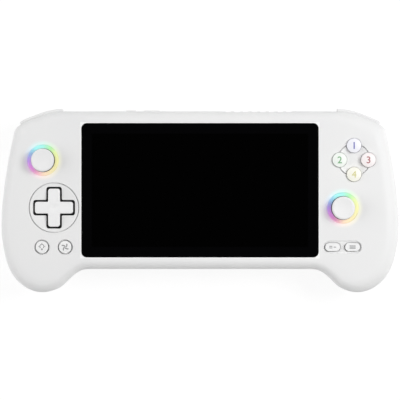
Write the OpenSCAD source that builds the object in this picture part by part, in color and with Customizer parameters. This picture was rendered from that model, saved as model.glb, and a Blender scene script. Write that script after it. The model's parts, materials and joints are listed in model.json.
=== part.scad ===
// White handheld game console with two grips, lying on its back.
// Z = 0 is the table under the grips and +Z leaves the screen.
// +Y points to the shoulder keys and +X is the right hand.
// All sizes are in millimetres.

/* [Body] */
// overall width across the grips
body_w = 224.4; // [222:0.2:226]
// from the centre line up to the top edge
deck_top = 50.5; // [50:0.1:51]
// from the centre line down to the bottom edge between the grips
deck_low = 38.6; // [38.3:0.1:38.9]
// from the centre line down to the grip tips
grip_low = 51.7; // [51:0.1:52.5]
// height of the widest point of the grips, from the centre line
grip_mid = -14; // [-16:0.5:-12]
// overall thickness at the grips
body_t = 31; // [30:0.5:32]
// thickness of the slab behind the screen
deck_t = 15.5; // [15.3:0.1:15.7]
// depth of the front half of the case
front_h = 7; // [6.8:0.1:7.2]
// case wall
wall = 1.8; // [1.7:0.05:1.9]
// edge rounding of the front face over the slab
front_r = 5; // [4.6:0.1:5.2]
// edge rounding of the front face over the grips
front_grip_r = 8; // [7:0.25:8.5]
// edge rounding of the slab back
rear_r = 4.5; // [4.3:0.1:4.7]
// edge rounding of the grip backs
grip_r = 18; // [17:0.5:19]
// where the back starts to rise to the grips, from the side
grip_run_out = 53.5; // [53:0.25:54]
// length of that rise
grip_run = 26; // [25:0.5:27]
// height where the grip backs start, from the centre line
grip_top = 38; // [37.5:0.25:38.5]
// length of their upper slope
grip_rise = 22; // [21:0.5:23]

/* [Screen] */
// cover glass width
lens_w = 133.5; // [133:0.1:134]
// cover glass height
lens_h = 75.5; // [75:0.1:75.8]
// cover glass centre above the centre line
lens_y = 5.9; // [5.7:0.1:6.1]
// cover glass thickness
lens_t = 1.2; // [1.1:0.05:1.3]
// cover glass corner radius
lens_r = 3; // [2:0.25:4]
// how far the glass lies below the front face
lens_sink = 0.1; // [0.05:0.05:0.2]
// ledge under the glass edge
ledge_w = 2.6; // [2.4:0.1:2.8]
// ledge thickness
ledge_t = 1.6; // [1.4:0.1:1.8]
// how far the ledge frame runs out past the glass
ledge_out = 2.7; // [2.6:0.1:3.2]
// glue frame thickness
gasket_t = 0.2; // [0.15:0.05:0.25]
// display panel thickness
panel_t = 3; // [2.6:0.1:3.2]
// space round the panel in its window
panel_gap = 0.5; // [0.4:0.1:0.7]

/* [Sticks] */
// left stick, distance from the centre
stick_l_x = 88.4; // [88:0.1:88.8]
// left stick, height above the centre line
stick_l_y = 22.8; // [22.4:0.1:23.2]
// right stick, distance from the centre
stick_r_x = 80.5; // [80.2:0.1:80.8]
// right stick, height below the centre line
stick_r_y = 4.1; // [3.8:0.1:4.4]
// pivot below the front face
pivot_below = 8; // [7.9:0.05:8.1]
// dome skirt radius
dome_r = 9.2; // [9.1:0.05:9.25]
// dome skirt wall
dome_t = 0.8; // [0.7:0.05:0.85]
// half angle of the dome skirt
dome_angle = 52; // [48:1:52]
// thumb cap radius
cap_r = 6.5; // [6.2:0.1:6.7]
// thumb cap thickness
cap_t = 2.8; // [2.4:0.1:3.2]
// underside of the thumb cap above the front face
cap_lift = 3.5; // [3.4:0.1:4]
// depth of the hollow in the thumb cap
cap_hollow = 0.7; // [0.4:0.1:0.9]
// neck radius
neck_r = 3.2; // [2.9:0.1:3.4]
// stick shaft radius
shaft_r = 1.6; // [1.5:0.05:1.65]
// light ring inner radius
ring_in = 6.7; // [6.6:0.05:6.8]
// light ring outer radius
ring_out = 8.65; // [8.5:0.05:8.8]
// light ring flange radius
ring_flange = 9.8; // [9.6:0.1:10]
// how far the light ring stands out of the face
ring_proud = 0.3; // [0.2:0.05:0.35]
// stick module, side of the housing
module_w = 16.4; // [16.2:0.1:16.6]
// stick module, wall
module_wall = 1.2; // [1.1:0.05:1.3]
// length of the module over its ears
ear_w = 20.4; // [20:0.1:20.8]
// gimbal frame length
gimbal_w = 12.4; // [12.2:0.1:12.6]
// gimbal frame height
gimbal_h = 11.2; // [11:0.1:11.4]
// gimbal frame thickness
gimbal_t = 3; // [2.8:0.1:3.2]
// rocker block length
rocker_w = 6.8; // [6.6:0.1:7]
// rocker block height
rocker_h = 6.4; // [6.2:0.1:6.6]
// pivot pin radius in the sticks
stick_pin_r = 0.7; // [0.6:0.05:0.75]

/* [Cross pad] */
// cross pad, distance left of the centre
dpad_x = 82.2; // [82:0.1:82.4]
// cross pad, height below the centre line
dpad_y = 3.9; // [3.7:0.1:4.1]
// cross length over the arms
dpad_w = 21.7; // [21.2:0.1:22]
// arm width
dpad_arm = 7.1; // [6.8:0.1:7.4]
// arm end corner radius
dpad_corner = 1.4; // [1:0.1:1.8]
// how far the cross stands out of the face
dpad_proud = 1.2; // [1:0.1:1.5]
// gap round the cross
dpad_gap = 0.7; // [0.6:0.05:0.8]
// dish radius
dish_r = 13.95; // [13.7:0.05:14.2]
// dish depth
dish_t = 0.9; // [0.7:0.05:1]
// flange radius of the cross
dpad_flange = 12; // [11.8:0.1:12.2]
// thickening of the wall round the cross
dpad_pad_t = 0.8; // [0.6:0.1:0.9]
// pivot pin radius in the cross pad
dpad_pin_r = 0.6; // [0.5:0.05:0.65]

/* [Face keys] */
// centre of the four keys, distance right of the centre
face_x = 86.7; // [86.5:0.1:86.9]
// centre of the four keys, height above the centre line
face_y = 23; // [22.8:0.1:23.2]
// distance of each key from that centre
face_spread = 8.1; // [8:0.05:8.3]
// key radius
face_r = 4; // [3.8:0.05:4.1]
// how far the keys stand out of the face
face_proud = 1.8; // [1.6:0.1:2]
// key travel
face_travel = 1.2; // [1:0.1:1.2]
// dish radius round the four keys
face_dish_r = 9.35; // [9.2:0.05:9.5]
// dish depth
face_dish_t = 0.6; // [0.4:0.05:0.7]

/* [Small keys] */
// height of the small keys below the centre line
small_y = 26.1; // [25.9:0.1:26.3]
// outer round key, distance left of the centre
light_x = 89; // [88.8:0.1:89.2]
// inner round key, distance left of the centre
fan_x = 75.9; // [75.7:0.1:76.1]
// round key radius
small_r = 3.5; // [3.3:0.05:3.6]
// groove round the round keys
small_gap = 0.7; // [0.6:0.05:0.75]
// inner pill key, distance right of the centre
select_x = 74.7; // [74.6:0.1:74.8]
// outer pill key, distance right of the centre
start_x = 85.9; // [85.8:0.1:86]
// pill key length
pill_w = 8.4; // [8.2:0.1:8.5]
// pill key height
pill_h = 4.7; // [4.5:0.1:4.8]
// length of the recess round both pill keys
pill_recess_w = 21.5; // [21.2:0.1:21.8]
// height of that recess
pill_recess_h = 7.2; // [7:0.1:7.4]
// depth of that recess
pill_recess_t = 0.5; // [0.4:0.05:0.6]
// how far the small keys stand out of the face
small_proud = 0.9; // [0.8:0.05:1]
// rim of all keys under the wall
key_rim = 1.2; // [1:0.05:1.2]
// thickness of that rim
key_rim_t = 0.9; // [0.8:0.05:1]

/* [Shoulder keys] */
// inner end of the shoulder keys, from the side
shoulder_out = 34.9; // [34.6:0.1:35.2]
// how far the bumpers stand out of the edge
bumper_proud = 1.5; // [1.4:0.1:1.5]
// bumper depth behind the edge
bumper_in = 3.2; // [3:0.1:3.4]
// bumper height
bumper_h = 4.4; // [4.2:0.1:4.4]
// radius of the bumper and trigger pins
shoulder_pin_r = 0.8; // [0.7:0.05:0.8]
// trigger tip above the table
trigger_tip = 3.6; // [3.4:0.1:4.4]
// trigger set back from the edge
trigger_set = 0.6; // [0.5:0.1:0.8]
// trigger thickness
trigger_t = 4; // [3.6:0.1:4.2]
// how far the trigger tip curls back
trigger_curl = 1.8; // [1.4:0.1:2]
// outer end of the triggers, from the side
trigger_out = 13.7; // [13.6:0.1:14]
// height of the trigger pin above the table
trigger_pin_z = 17.2; // [17.1:0.05:17.2]
// height of the trigger pin above the centre line
trigger_pin_y = 39.7; // [39.6:0.05:39.8]
// inner wall of the shoulder recess above the centre line
shoulder_back = 37; // [36.8:0.1:37.1]

/* [Top edge] */
// power key centre, distance left of the centre
power_x = 38.85; // [38.6:0.05:39.1]
// power key length
power_w = 5.7; // [5.4:0.1:6]
// volume rocker centre, distance left of the centre
volume_x = 27; // [26.8:0.1:27.2]
// volume rocker length
volume_w = 9; // [8.6:0.1:9.4]
// height of both keys
edge_key_h = 3; // [2.8:0.1:3.2]
// how far both keys stand out of the edge
edge_key_proud = 0.8; // [0.6:0.1:1]
// number of vent slots
vent_n = 8; // [7:1:9]
// first vent slot, distance right of the centre
vent_x = 16; // [15.5:0.1:16.5]
// vent slot pitch
vent_pitch = 4.9; // [4.8:0.05:4.95]
// vent slot width
vent_w = 3; // [2.6:0.1:3.2]

/* [Ports] */
// audio jack, distance right of the centre
jack_x = 6.8; // [6.6:0.1:7]
// audio jack bore radius
jack_r = 1.75; // [1.75:0.01:1.8]
// audio jack bore depth
jack_l = 14; // [13.5:0.1:14]
// charging port, distance right of the centre
usb_x = 28.7; // [28.5:0.1:28.9]
// charging port width
usb_w = 8.94; // [8.9:0.01:9]
// charging port height
usb_h = 3.26; // [3.2:0.01:3.3]
// charging port length
usb_l = 7.3; // [7:0.1:7.6]
// card slot, distance right of the centre
card_x = 50.7; // [50.5:0.1:50.9]
// card slot width
card_w = 11.4; // [11.3:0.1:11.6]
// card slot height
card_h = 1.1; // [1:0.05:1.2]

/* [Inside] */
// top of the control boards below the front face
board_below = 6.6; // [6.6:0.05:6.7]
// control board thickness
board_t = 1.2; // [1:0.1:1.3]
// main board underside above the slab back
main_up = 8.3; // [8.2:0.05:8.3]
// main board thickness
main_t = 1; // [0.8:0.1:1]
// battery length
battery_w = 37; // [36:0.5:37]
// battery height
battery_h = 66; // [64:0.5:66]
// battery thickness
battery_t = 7; // [6.6:0.1:7]
// fan housing side
fan_w = 29; // [28.6:0.1:29]
// fan housing thickness
fan_t = 6; // [5.8:0.1:6]
// fan blade radius
fan_r = 12.2; // [11.8:0.1:12.2]
// number of fan blades
fan_blades = 11; // [7:2:13]
// speaker width
speaker_w = 11; // [10.5:0.1:11]
// speaker height
speaker_h = 20; // [19:0.5:20]
// speaker thickness
speaker_t = 4.6; // [4.2:0.1:4.8]
// heat pipe width
pipe_w = 4; // [3.8:0.1:4]
// heat pipe thickness
pipe_t = 2; // [1.8:0.1:2]

/* [Fits] */
// gap between pieces that stay together
fit = 0.1; // [0.08:0.01:0.12]
// gap between pieces that move
run = 0.3; // [0.28:0.01:0.32]

/* [Hidden] */
$fn = 48;

// heights
front_z = body_t;
part_z = front_z - front_h;
back_z = front_z - deck_t;
wall_z = front_z - wall;
floor_z = back_z + wall;
half_w = body_w / 2;
lens_x = lens_w / 2;
rear_h = part_z - back_z;
swell_h = back_z;
shell_gap = fit;
lens_low = front_z - lens_sink - lens_t;
ledge_top = lens_low - gasket_t;
ledge_low = ledge_top - ledge_t;
window_w = lens_w - 2 * ledge_w;
window_h = lens_h - 2 * ledge_w;
board_top = front_z - board_below;
board_low = board_top - board_t;
main_low = back_z + main_up;
main_top = main_low + main_t;
pivot_z = front_z - pivot_below;
rim_top = wall_z - 1.5 * fit;
membrane_t = 0.8;
membrane_dome = 0.25;
key_stop = board_top + membrane_t + membrane_dome + fit;

// Positions across the case are given for the drawn widths and follow the glass and the case.
drawn_w = 224.4;
drawn_lens_w = 133.5;
function deck_x(x) = x * lens_w / drawn_lens_w;
function side_x(x) = lens_x + (x - drawn_lens_w / 2) * (body_w - lens_w) / (drawn_w - drawn_lens_w);
function on_side(p) = [side_x(p[0]), p[1]];
function on_deck(p) = [deck_x(p[0]), p[1]];

stick_l = [-side_x(stick_l_x), stick_l_y];
stick_r = [side_x(stick_r_x), -stick_r_y];
dpad_at = [-side_x(dpad_x), -dpad_y];
face_at = [side_x(face_x), face_y];
light_at = [-side_x(light_x), -small_y];
fan_key_at = [-side_x(fan_x), -small_y];
select_at = [lens_x + select_x - drawn_lens_w / 2, -small_y];
start_at = select_at + [start_x - select_x, 0];
jack_at = deck_x(jack_x);
usb_at = deck_x(usb_x);
card_at = deck_x(card_x);
power_at = -deck_x(power_x);
volume_at = -deck_x(volume_x);
pills_at = (select_at + start_at) / 2;
left_keys_at = (light_at + fan_key_at) / 2;
face_dirs = [[0, 1], [-1, 0], [1, 0], [0, -1]];
blower_x = 35;
blower_y = 26;
chip_x = 20;
chip_y = 11;
battery_x = 31.5;
battery_y = 3;
speaker_x = 59;
speaker_y = 24;
fan_at = on_deck([blower_x, blower_y]);
chip_at = on_deck([chip_x, -chip_y]);
battery_at = on_deck([-battery_x, battery_y]);
speaker_at = on_deck([speaker_x, speaker_y]);
board_boss_at = [on_side([73, 30]), on_side([99, 9]), on_side([95.5, -33.5]), on_side([76, -36])];
screw_top_in = 43;
screw_top_down = 6.5;
screw_grip_x = 98;
screw_low_x = 66;
screw_low_up = 6.1;
case_screw_at = [[half_w - screw_top_in, deck_top - screw_top_down], on_side([screw_grip_x, grip_mid]),
    [deck_x(screw_low_x), screw_low_up - deck_low]];
main_boss_at = [on_deck([-7, -1]), on_deck([57, 3]), on_deck([-7, -30]), on_deck([39, -30])];
bumper_pin_at = [half_w - 32.5, deck_top - 5.4];
board_boss_r = 2.3;
case_boss_r = 2.6;
main_boss_r = 2.4;
screw_core_r = 0.8;
screw_body_r = 0.7;
screw_hole_r = 0.95;
screw_head_r = 1.6;
screw_head_t = 1;
hole_end = 0.6;
past = 1;

// colours
white = [0.93, 0.93, 0.92];
black = [0.03, 0.03, 0.03];
dark = [0.15, 0.15, 0.16];
green = [0.05, 0.3, 0.15];
steel = [0.7, 0.7, 0.72];
copper = [0.72, 0.45, 0.28];

// Case outline. Knots are [x, y, heading], walked clockwise over the right half.
upper_knots = [
    [0, deck_top, 0],
    [half_w - 35.5, deck_top, 0],
    [half_w - 21.5, deck_top - 2.7, -22],
    [half_w - 10.3, deck_top - 7.7, -33],
    [half_w - 7.3, deck_top - 11.8, -78],
    [half_w - 4, deck_top - 27.2, -80.5],
    [half_w, grip_mid, -90]];
lower_knots = [
    [half_w, grip_mid, -90],
    [half_w - 2.3, grip_mid - 18, -104],
    [half_w - 8.8, 6.8 - grip_low, -133],
    [half_w - 23, -grip_low, -180],
    [half_w - 34, 3.3 - grip_low, -213],
    [half_w - 38.2, 7.3 - grip_low, -222],
    [half_w - 45, -deck_low - 0.8, -203],
    [half_w - 51.5, -deck_low, -180],
    [0, -deck_low, -180]];
upper_steps = [8, 3, 2, 4, 3, 6];
lower_steps = [3, 3, 5, 4, 1, 2, 2, 6];

function heading(a) = [cos(a), sin(a)];
function flat(p) = [p[0], p[1]];
function curve_pt(p, q, t) = let(
    l = norm(flat(q) - flat(p)),
    a = l * heading(p[2]),
    b = l * heading(q[2]),
    c = flat(p) * (2 * t * t * t - 3 * t * t + 1) + a * (t * t * t - 2 * t * t + t)
        + flat(q) * (3 * t * t - 2 * t * t * t) + b * (t * t * t - t * t),
    d = (flat(q) - flat(p)) * (6 * t - 6 * t * t) + a * (3 * t * t - 4 * t + 1) + b * (3 * t * t - 2 * t),
    n = d / norm(d)) [c[0], c[1], n[0], n[1]];
function walk(knots, steps) = [
    for (s = [0 : len(steps) - 1])
        for (i = [0 : steps[s] - 1])
            curve_pt(knots[s], knots[s + 1], i / steps[s])];
function other_hand(p) = [-p[0], p[1], p[2], -p[3]];
function inset(p, d) = [p[0] + d * p[3], p[1] - d * p[2]];

right_half = concat(walk(upper_knots, upper_steps), walk(lower_knots, lower_steps), [[0, -deck_low, -1, 0]]);
half_n = len(right_half) - 1;
whole = concat(right_half, [for (i = [half_n - 1 : -1 : 1]) other_hand(right_half[i])]);
loop_n = len(whole);
tip_n = 3 * half_n / 2;
loop = [for (n = [0 : loop_n - 1]) whole[(n + tip_n) % loop_n]];

// Case surface. The skin is a rounded edge of rings and a field of columns between them.
edge_d = 4.2;
front_run_out = 40;
front_run = 25;
out_rings = 5;
in_rings = 3;
rows = 12;
cols = loop_n / 2;

function clamp(t) = max(0, min(1, t));
function ease(t) = clamp(t) * clamp(t) * (3 - 2 * clamp(t));
function swell(p) =
    ease((abs(p[0]) - half_w + grip_run_out) / grip_run) * ease((grip_top - p[1]) / grip_rise);
function arc_up(t) = sqrt(1 - (1 - clamp(t)) * (1 - clamp(t)));
function seg_d(p, a, b) = let(
    v = b - a,
    t = clamp(((p - a) * v) / (v * v))) norm(p - a - t * v);
function edge_gap(p) =
    min([for (n = [0 : loop_n - 1]) seg_d(p, flat(loop[n]), flat(loop[(n + 1) % loop_n]))]);
function front_depth(p, d, w) = let(
    s = ease((abs(p[0]) - half_w + front_run_out) / front_run),
    r = front_r + (front_grip_r - front_r) * s) (front_h - w) * arc_up((d - w) / (r - w));
function rear_depth(p, d, w) = let(
    s = swell(p),
    r = rear_r + (grip_r - rear_r) * s) (rear_h + swell_h * s - w) * arc_up((d - w) / (r - w));
function front_skin(p, d, w) = part_z + shell_gap + (1 - shell_gap / front_h) * front_depth(p, d, w);
function rear_skin(p, d, w) = part_z - rear_depth(p, d, w);
function skin_pt(p, d, w, up) = [p[0], p[1], up > 0 ? front_skin(p, d, w) : rear_skin(p, d, w)];
function row_t(i) = 0.5 * i / rows + 0.25 * (1 - cos(180 * i / rows));
function ring_d(k, rings, w) = w + (edge_d - w) * (1 - cos(90 * k / rings));
function skin_points(rings, w, up, lip) = concat(
    [for (n = [0 : lip > 0 ? loop_n - 1 : -1])
        let(p = inset(loop[n], w)) [p[0], p[1], skin_pt(p, w, w, up)[2] - up * lip]],
    [for (k = [0 : rings])
        for (n = [0 : loop_n - 1])
            skin_pt(inset(loop[n], ring_d(k, rings, w)), ring_d(k, rings, w), w, up)],
    [for (j = [1 : cols - 1])
        for (i = [1 : rows - 1])
            let(a = inset(loop[j], edge_d), b = inset(loop[loop_n - j], edge_d), p = a + (b - a) * row_t(i))
                skin_pt(p, edge_gap(p), w, up)]);
function field_id(j, i, rings) =
    j == 0 ? rings * loop_n
    : j == cols ? rings * loop_n + cols
    : i == 0 ? rings * loop_n + j
    : i == rows ? rings * loop_n + loop_n - j
    : (rings + 1) * loop_n + (j - 1) * (rows - 1) + i - 1;
function skin_faces(rings) = concat(
    [for (k = [0 : rings - 1])
        for (n = [0 : loop_n - 1])
            let(a = k * loop_n + n, b = k * loop_n + (n + 1) % loop_n)
                each [[a, b, b + loop_n], [a, b + loop_n, a + loop_n]]],
    [for (j = [1 : cols - 2])
        for (i = [0 : rows - 1])
            let(a = field_id(j, i, rings), b = field_id(j + 1, i, rings),
                c = field_id(j + 1, i + 1, rings), d = field_id(j, i + 1, rings))
                each [[a, b, c], [a, c, d]]],
    [for (i = [0 : rows - 1])
        each [[field_id(0, 0, rings), field_id(1, i, rings), field_id(1, i + 1, rings)],
            [field_id(cols - 1, i, rings), field_id(cols, 0, rings), field_id(cols - 1, i + 1, rings)]]],
    [for (j = [1 : cols - 2])
        each [[j, loop_n - j - 1, j + 1], [j, loop_n - j, loop_n - j - 1]]],
    [[0, loop_n - 1, 1], [cols - 1, cols + 1, cols]]);
function turned(faces) = [for (f = faces) [f[0], f[2], f[1]]];

// solid under the skin, up for the front half, w set in from the outside, lip past the parting line
module skin(up, rings, w, lip) {
    faces = skin_faces(rings + (lip > 0 ? 1 : 0));
    polyhedron(points = skin_points(rings, w, up, lip), faces = up > 0 ? faces : turned(faces),
        convexity = 8);
}

// hollow half of the case, the children are ribs and bosses left standing in the hollow
module half_case(up) {
    difference() {
        skin(up, out_rings, 0, 0);
        difference() {
            skin(up, in_rings, wall, 1);
            children();
        }
    }
}

// shared small shapes
module rounded(w, h, r) {
    offset(r = r) square([w - 2 * r, h - 2 * r], center = true);
}

module slab(w, h, r, z0, z1) {
    translate([0, 0, z0]) linear_extrude(z1 - z0) rounded(w, h, r);
}

module box(x0, x1, y0, y1, z0, z1) {
    translate([x0, y0, z0]) cube([x1 - x0, y1 - y0, z1 - z0]);
}

module post(p, r, z0, z1) {
    translate([p[0], p[1], z0]) cylinder(r = r, h = z1 - z0);
}

module on_both_sides() {
    children();
    mirror([1, 0, 0]) children();
}

module pin_x(r, x0, x1) {
    translate([x0, 0, 0]) rotate([0, 90, 0]) cylinder(r = r, h = x1 - x0);
}

module pin_y(r, y0, y1) {
    translate([0, y0, 0]) rotate([-90, 0, 0]) cylinder(r = r, h = y1 - y0);
}

module dish(p, r, t) {
    big = (r * r + t * t) / (2 * t);
    translate([p[0], p[1], front_z - t + big]) sphere(r = big, $fn = 96);
}

module cross(w, arm, r) {
    rounded(w, arm, r);
    rounded(arm, w, r);
}

// shoulder region of the right side, between two offsets of the case edge
edge_path = [for (i = [upper_steps[0] : upper_steps[0] + upper_steps[1] + upper_steps[2]]) right_half[i]];
shoulder_x = half_w - shoulder_out;
shoulder_end = half_w - 10.9;
field_out = 8.5;
shoulder_start = edge_path[0][0] - 2;

module edge_band(out, in) {
    intersection() {
        polygon(concat([for (p = edge_path) inset(p, -out)],
            [for (i = [len(edge_path) - 1 : -1 : 0]) inset(edge_path[i], in)]));
        translate([shoulder_x, 0]) square([shoulder_end - shoulder_x, deck_top + far]);
    }
}

module edge_field(out, low) {
    polygon(concat([for (p = edge_path) inset(p, -out)],
        [[half_w - field_out, low], [shoulder_start, low], [shoulder_start, deck_top + out]]));
}

module vents(z0, z1) {
    for (i = [0 : vent_n - 1])
        box(deck_x(vent_x) + i * vent_pitch - vent_w / 2, deck_x(vent_x) + i * vent_pitch + vent_w / 2,
            deck_top - vent_in, deck_top + past, z0, z1);
}

// front half of the case
window_r = 1;
bumper_boss_r = 2.2;
shoulder_roof = 1;
dpad_pad_out = 1;
pill_rim = 0.7;
vent_front = 3;
vent_rear = 5;
vent_in = 4.5;
case_screw_r = 0.9;
module front_shell() {
    color(white) difference() {
        half_case(1) {
            translate([0, lens_y, 0])
                slab(lens_w + 2 * ledge_out, lens_h + 2 * ledge_out, lens_r, ledge_low, front_z);
            post(dpad_at, dish_r + dpad_pad_out, wall_z - dpad_pad_t, front_z);
            on_both_sides() {
                for (p = board_boss_at)
                    post(p, board_boss_r, board_top + fit, front_z);
                for (p = case_screw_at)
                    post(p, case_boss_r, part_z + shell_gap, front_z);
                post(bumper_pin_at, bumper_boss_r, part_z + shell_gap, front_z);
                translate([0, 0, part_z + shell_gap]) linear_extrude(shoulder_roof)
                    edge_field(past, shoulder_back - wall);
            }
        }
        translate([0, lens_y, 0]) {
            slab(lens_w + 2 * fit, lens_h + 2 * fit, lens_r + fit, ledge_top, front_z + past);
            slab(window_w, window_h, window_r, ledge_low - past, front_z);
        }
        for (p = [stick_l, stick_r]) {
            post(p, ring_out + fit, wall_z - past, front_z + past);
            post(p, ring_flange + run, board_top, wall_z);
        }
        dish(dpad_at, dish_r, dish_t);
        translate([dpad_at[0], dpad_at[1], wall_z - dpad_pad_t - past])
            linear_extrude(front_z - wall_z + dpad_pad_t + 2 * past)
                cross(dpad_w + 2 * dpad_gap, dpad_arm + 2 * dpad_gap, dpad_corner);
        dish(face_at, face_dish_r, face_dish_t);
        for (d = face_dirs) {
            post(face_at + face_spread * d, face_r + run, wall_z - past, front_z + past);
            post(face_at + face_spread * d, face_r + key_rim + run, board_top, rim_top + fit);
        }
        for (p = [light_at, fan_key_at]) {
            post(p, small_r + small_gap, wall_z - past, front_z + past);
            post(p, small_r + key_rim + run, board_top, rim_top + fit);
        }
        translate([pills_at[0], pills_at[1], 0])
            slab(pill_recess_w, pill_recess_h, pill_recess_h / 2 - fit,
                front_z - pill_recess_t, front_z + past);
        for (p = [select_at, start_at])
            translate([p[0], p[1], 0]) {
                slab(pill_w + 2 * run, pill_h + 2 * run, pill_h / 2, wall_z - past, front_z + past);
                slab(pill_w + 2 * (pill_rim + run), pill_h + 2 * (pill_rim + run), pill_h / 2,
                    board_top, rim_top + fit);
            }
        vents(part_z - past, part_z + vent_front);
        on_both_sides() {
            for (p = board_boss_at)
                post(p, screw_core_r, board_top, wall_z - hole_end);
            for (p = case_screw_at)
                post(p, case_screw_r + fit, part_z, ledge_low);
            post(bumper_pin_at, shoulder_pin_r, part_z, wall_z - hole_end);
        }
    }
}

// rear half of the case with the grips
well_r = 2.6;
well_wall = 1;
screw_seat = part_z - 3.8;
jack_z = back_z + 5.4;
usb_z = main_low - usb_h / 2 - fit;
card_z = main_low - 1.05;
edge_key_z = part_z - 3.3;
shoulder_side = 2.2;
shoulder_room = 0.4;
far = 9;
rocker_pin_r = 0.6;
rocker_pin_in = 4;
grille_pitch = 2.2;
grille_w = 1.2;
grille_h = 14;
intake_pitch = 3.2;
intake_w = 1.6;
intake_l = 22;
port_room = 0.3;
port_in = 4;
jack_nose_r = 2.8;
edge_wall = 3.2;

module edge_key_hole(x, w) {
    translate([x, deck_top, edge_key_z])
        box(-w / 2 - run, w / 2 + run, -edge_wall, past, -edge_key_h / 2 - run, edge_key_h / 2 + run);
}

module rear_shell() {
    color(white) difference() {
        half_case(-1) {
            on_both_sides() {
                for (p = case_screw_at)
                    post(p, well_r + well_wall, -past, part_z);
                box(shoulder_x - shoulder_side, half_w, shoulder_back - wall, deck_top + far, 0, part_z);
            }
            for (p = main_boss_at)
                post(p, main_boss_r, 0, main_low - fit);
            post([volume_at, deck_top - rocker_pin_in], rocker_pin_r, 0, edge_key_z + edge_key_h);
        }
        on_both_sides() {
            box(shoulder_x - shoulder_room, shoulder_end + past, shoulder_back, deck_top + far,
                trigger_top - fit, part_z + past);
            box(shoulder_x - shoulder_room, trigger_end + shoulder_room, shoulder_back, deck_top + far,
                -past, part_z);
            translate([0, trigger_pin_y, trigger_pin_z])
                pin_x(shoulder_pin_r, pin_start - fit, pin_end + fit);
            for (p = case_screw_at) {
                post(p, well_r, -past, screw_seat);
                post(p, case_screw_r + shoulder_room, screw_seat - past, part_z + past);
            }
            for (i = [-2 : 2])
                translate([speaker_at[0] + i * grille_pitch, speaker_at[1], 0])
                    box(-grille_w / 2, grille_w / 2, -grille_h / 2, grille_h / 2, 0, floor_z + past);
        }
        for (p = main_boss_at)
            post(p, screw_core_r, floor_z + past, part_z);
        for (i = [-3 : 3])
            translate([fan_at[0], fan_at[1] + i * intake_pitch, 0])
                box(-intake_l / 2, intake_l / 2, -intake_w / 2, intake_w / 2, back_z - past, floor_z + past);
        vents(part_z - vent_rear, part_z + past);
        edge_key_hole(power_at, power_w);
        edge_key_hole(volume_at, volume_w);
        translate([jack_at, 0, jack_z]) pin_y(jack_nose_r + 2 * fit, -deck_low - past, port_in - deck_low);
        translate([usb_at, port_in - deck_low, usb_z]) rotate([90, 0, 0])
            slab(usb_w + 2 * port_room, usb_h + 2 * port_room, usb_h / 2, 0, port_in + past);
        translate([card_at, port_in - deck_low, card_z]) rotate([90, 0, 0])
            slab(card_w + 2 * port_room, card_h + 2 * port_room, port_room, 0, port_in + past);
    }
}

// cover glass
module screen_lens() {
    color(black) translate([0, lens_y, 0]) slab(lens_w, lens_h, lens_r, lens_low, front_z - lens_sink);
}

// glue frame between glass and ledge
gasket_in = 0.5;
module lens_gasket() {
    color(dark) translate([0, lens_y, 0]) difference() {
        slab(lens_w - 2 * gasket_in, lens_h - 2 * gasket_in, lens_r - gasket_in, ledge_top, lens_low);
        slab(window_w, window_h, window_r, ledge_top - past, lens_low + past);
    }
}

// display panel bonded to the glass
module display_panel() {
    color(dark) translate([0, lens_y, 0])
        slab(window_w - 2 * panel_gap, window_h - 2 * panel_gap, window_r - panel_gap + fit,
            lens_low - fit - panel_t, lens_low - fit / 2);
}

// screws from the back into the front half
case_head_r = 2.1;
case_head_t = 1.8;
hex_r = 0.9;
module case_screws() {
    color(steel) on_both_sides() for (p = case_screw_at) difference() {
        union() {
            post(p, case_head_r, screw_seat - case_head_t - fit, screw_seat - fit);
            post(p, case_screw_r, screw_seat - fit - past, ledge_low - fit);
        }
        post(p, hex_r, screw_seat - 2 * case_head_t, screw_seat - case_head_t / 2, $fn = 6);
    }
}

// screws that hold the boards
module board_screws() {
    color(steel) {
        on_both_sides() for (p = board_boss_at) {
            post(p, screw_head_r, board_low - screw_head_t - fit, board_low - fit);
            post(p, screw_body_r, board_low - screw_head_t, wall_z - hole_end - past);
        }
        for (p = main_boss_at) {
            post(p, screw_head_r, main_top + fit, main_top + screw_head_t + fit);
            post(p, screw_body_r, floor_z + 2 * past, main_top + screw_head_t);
        }
    }
}

// main board
main_left = 10;
main_right = 60;
main_in = 5.6;
main_head = 10;
module main_board() {
    color(green) difference() {
        box(deck_x(-main_left), deck_x(main_right), main_in - deck_low, main_head, main_low, main_top);
        for (p = main_boss_at)
            post(p, screw_hole_r, main_low - past, main_top + past);
    }
}

// metal can over the chips
shield_t = 2.2;
shield_w = 26;
shield_h = 24;
shield_r = 1;
module chip_shield() {
    color(steel) translate([chip_at[0], chip_at[1], 0])
        slab(shield_w, shield_h, shield_r, main_low - shield_t, main_low - fit / 2);
}

// flattened heat pipe from the can to the fins
pipe_top = main_low - shield_t - fit;
pipe_x = fan_at[0] - fan_w / 2 - 4.5;
pipe_y = deck_top - 5.8;
pipe_foot = chip_at[1] - 11;
pipe_l = 38;
pipe_bend = 2;
module heat_pipe() {
    color(copper) translate([0, 0, pipe_top - pipe_t]) linear_extrude(pipe_t) difference() {
        union() {
            translate([pipe_x - pipe_w / 2, pipe_foot]) square([pipe_w, pipe_y - pipe_foot]);
            translate([pipe_x, pipe_y - pipe_w / 2]) square([pipe_l, pipe_w]);
            translate([pipe_x, pipe_y]) circle(r = pipe_w / 2);
            translate([pipe_x + pipe_w / 2, pipe_y - pipe_w / 2 - pipe_bend]) square(pipe_bend);
        }
        translate([pipe_x + pipe_w / 2 + pipe_bend, pipe_y - pipe_w / 2 - pipe_bend]) circle(r = pipe_bend);
    }
}

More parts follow.
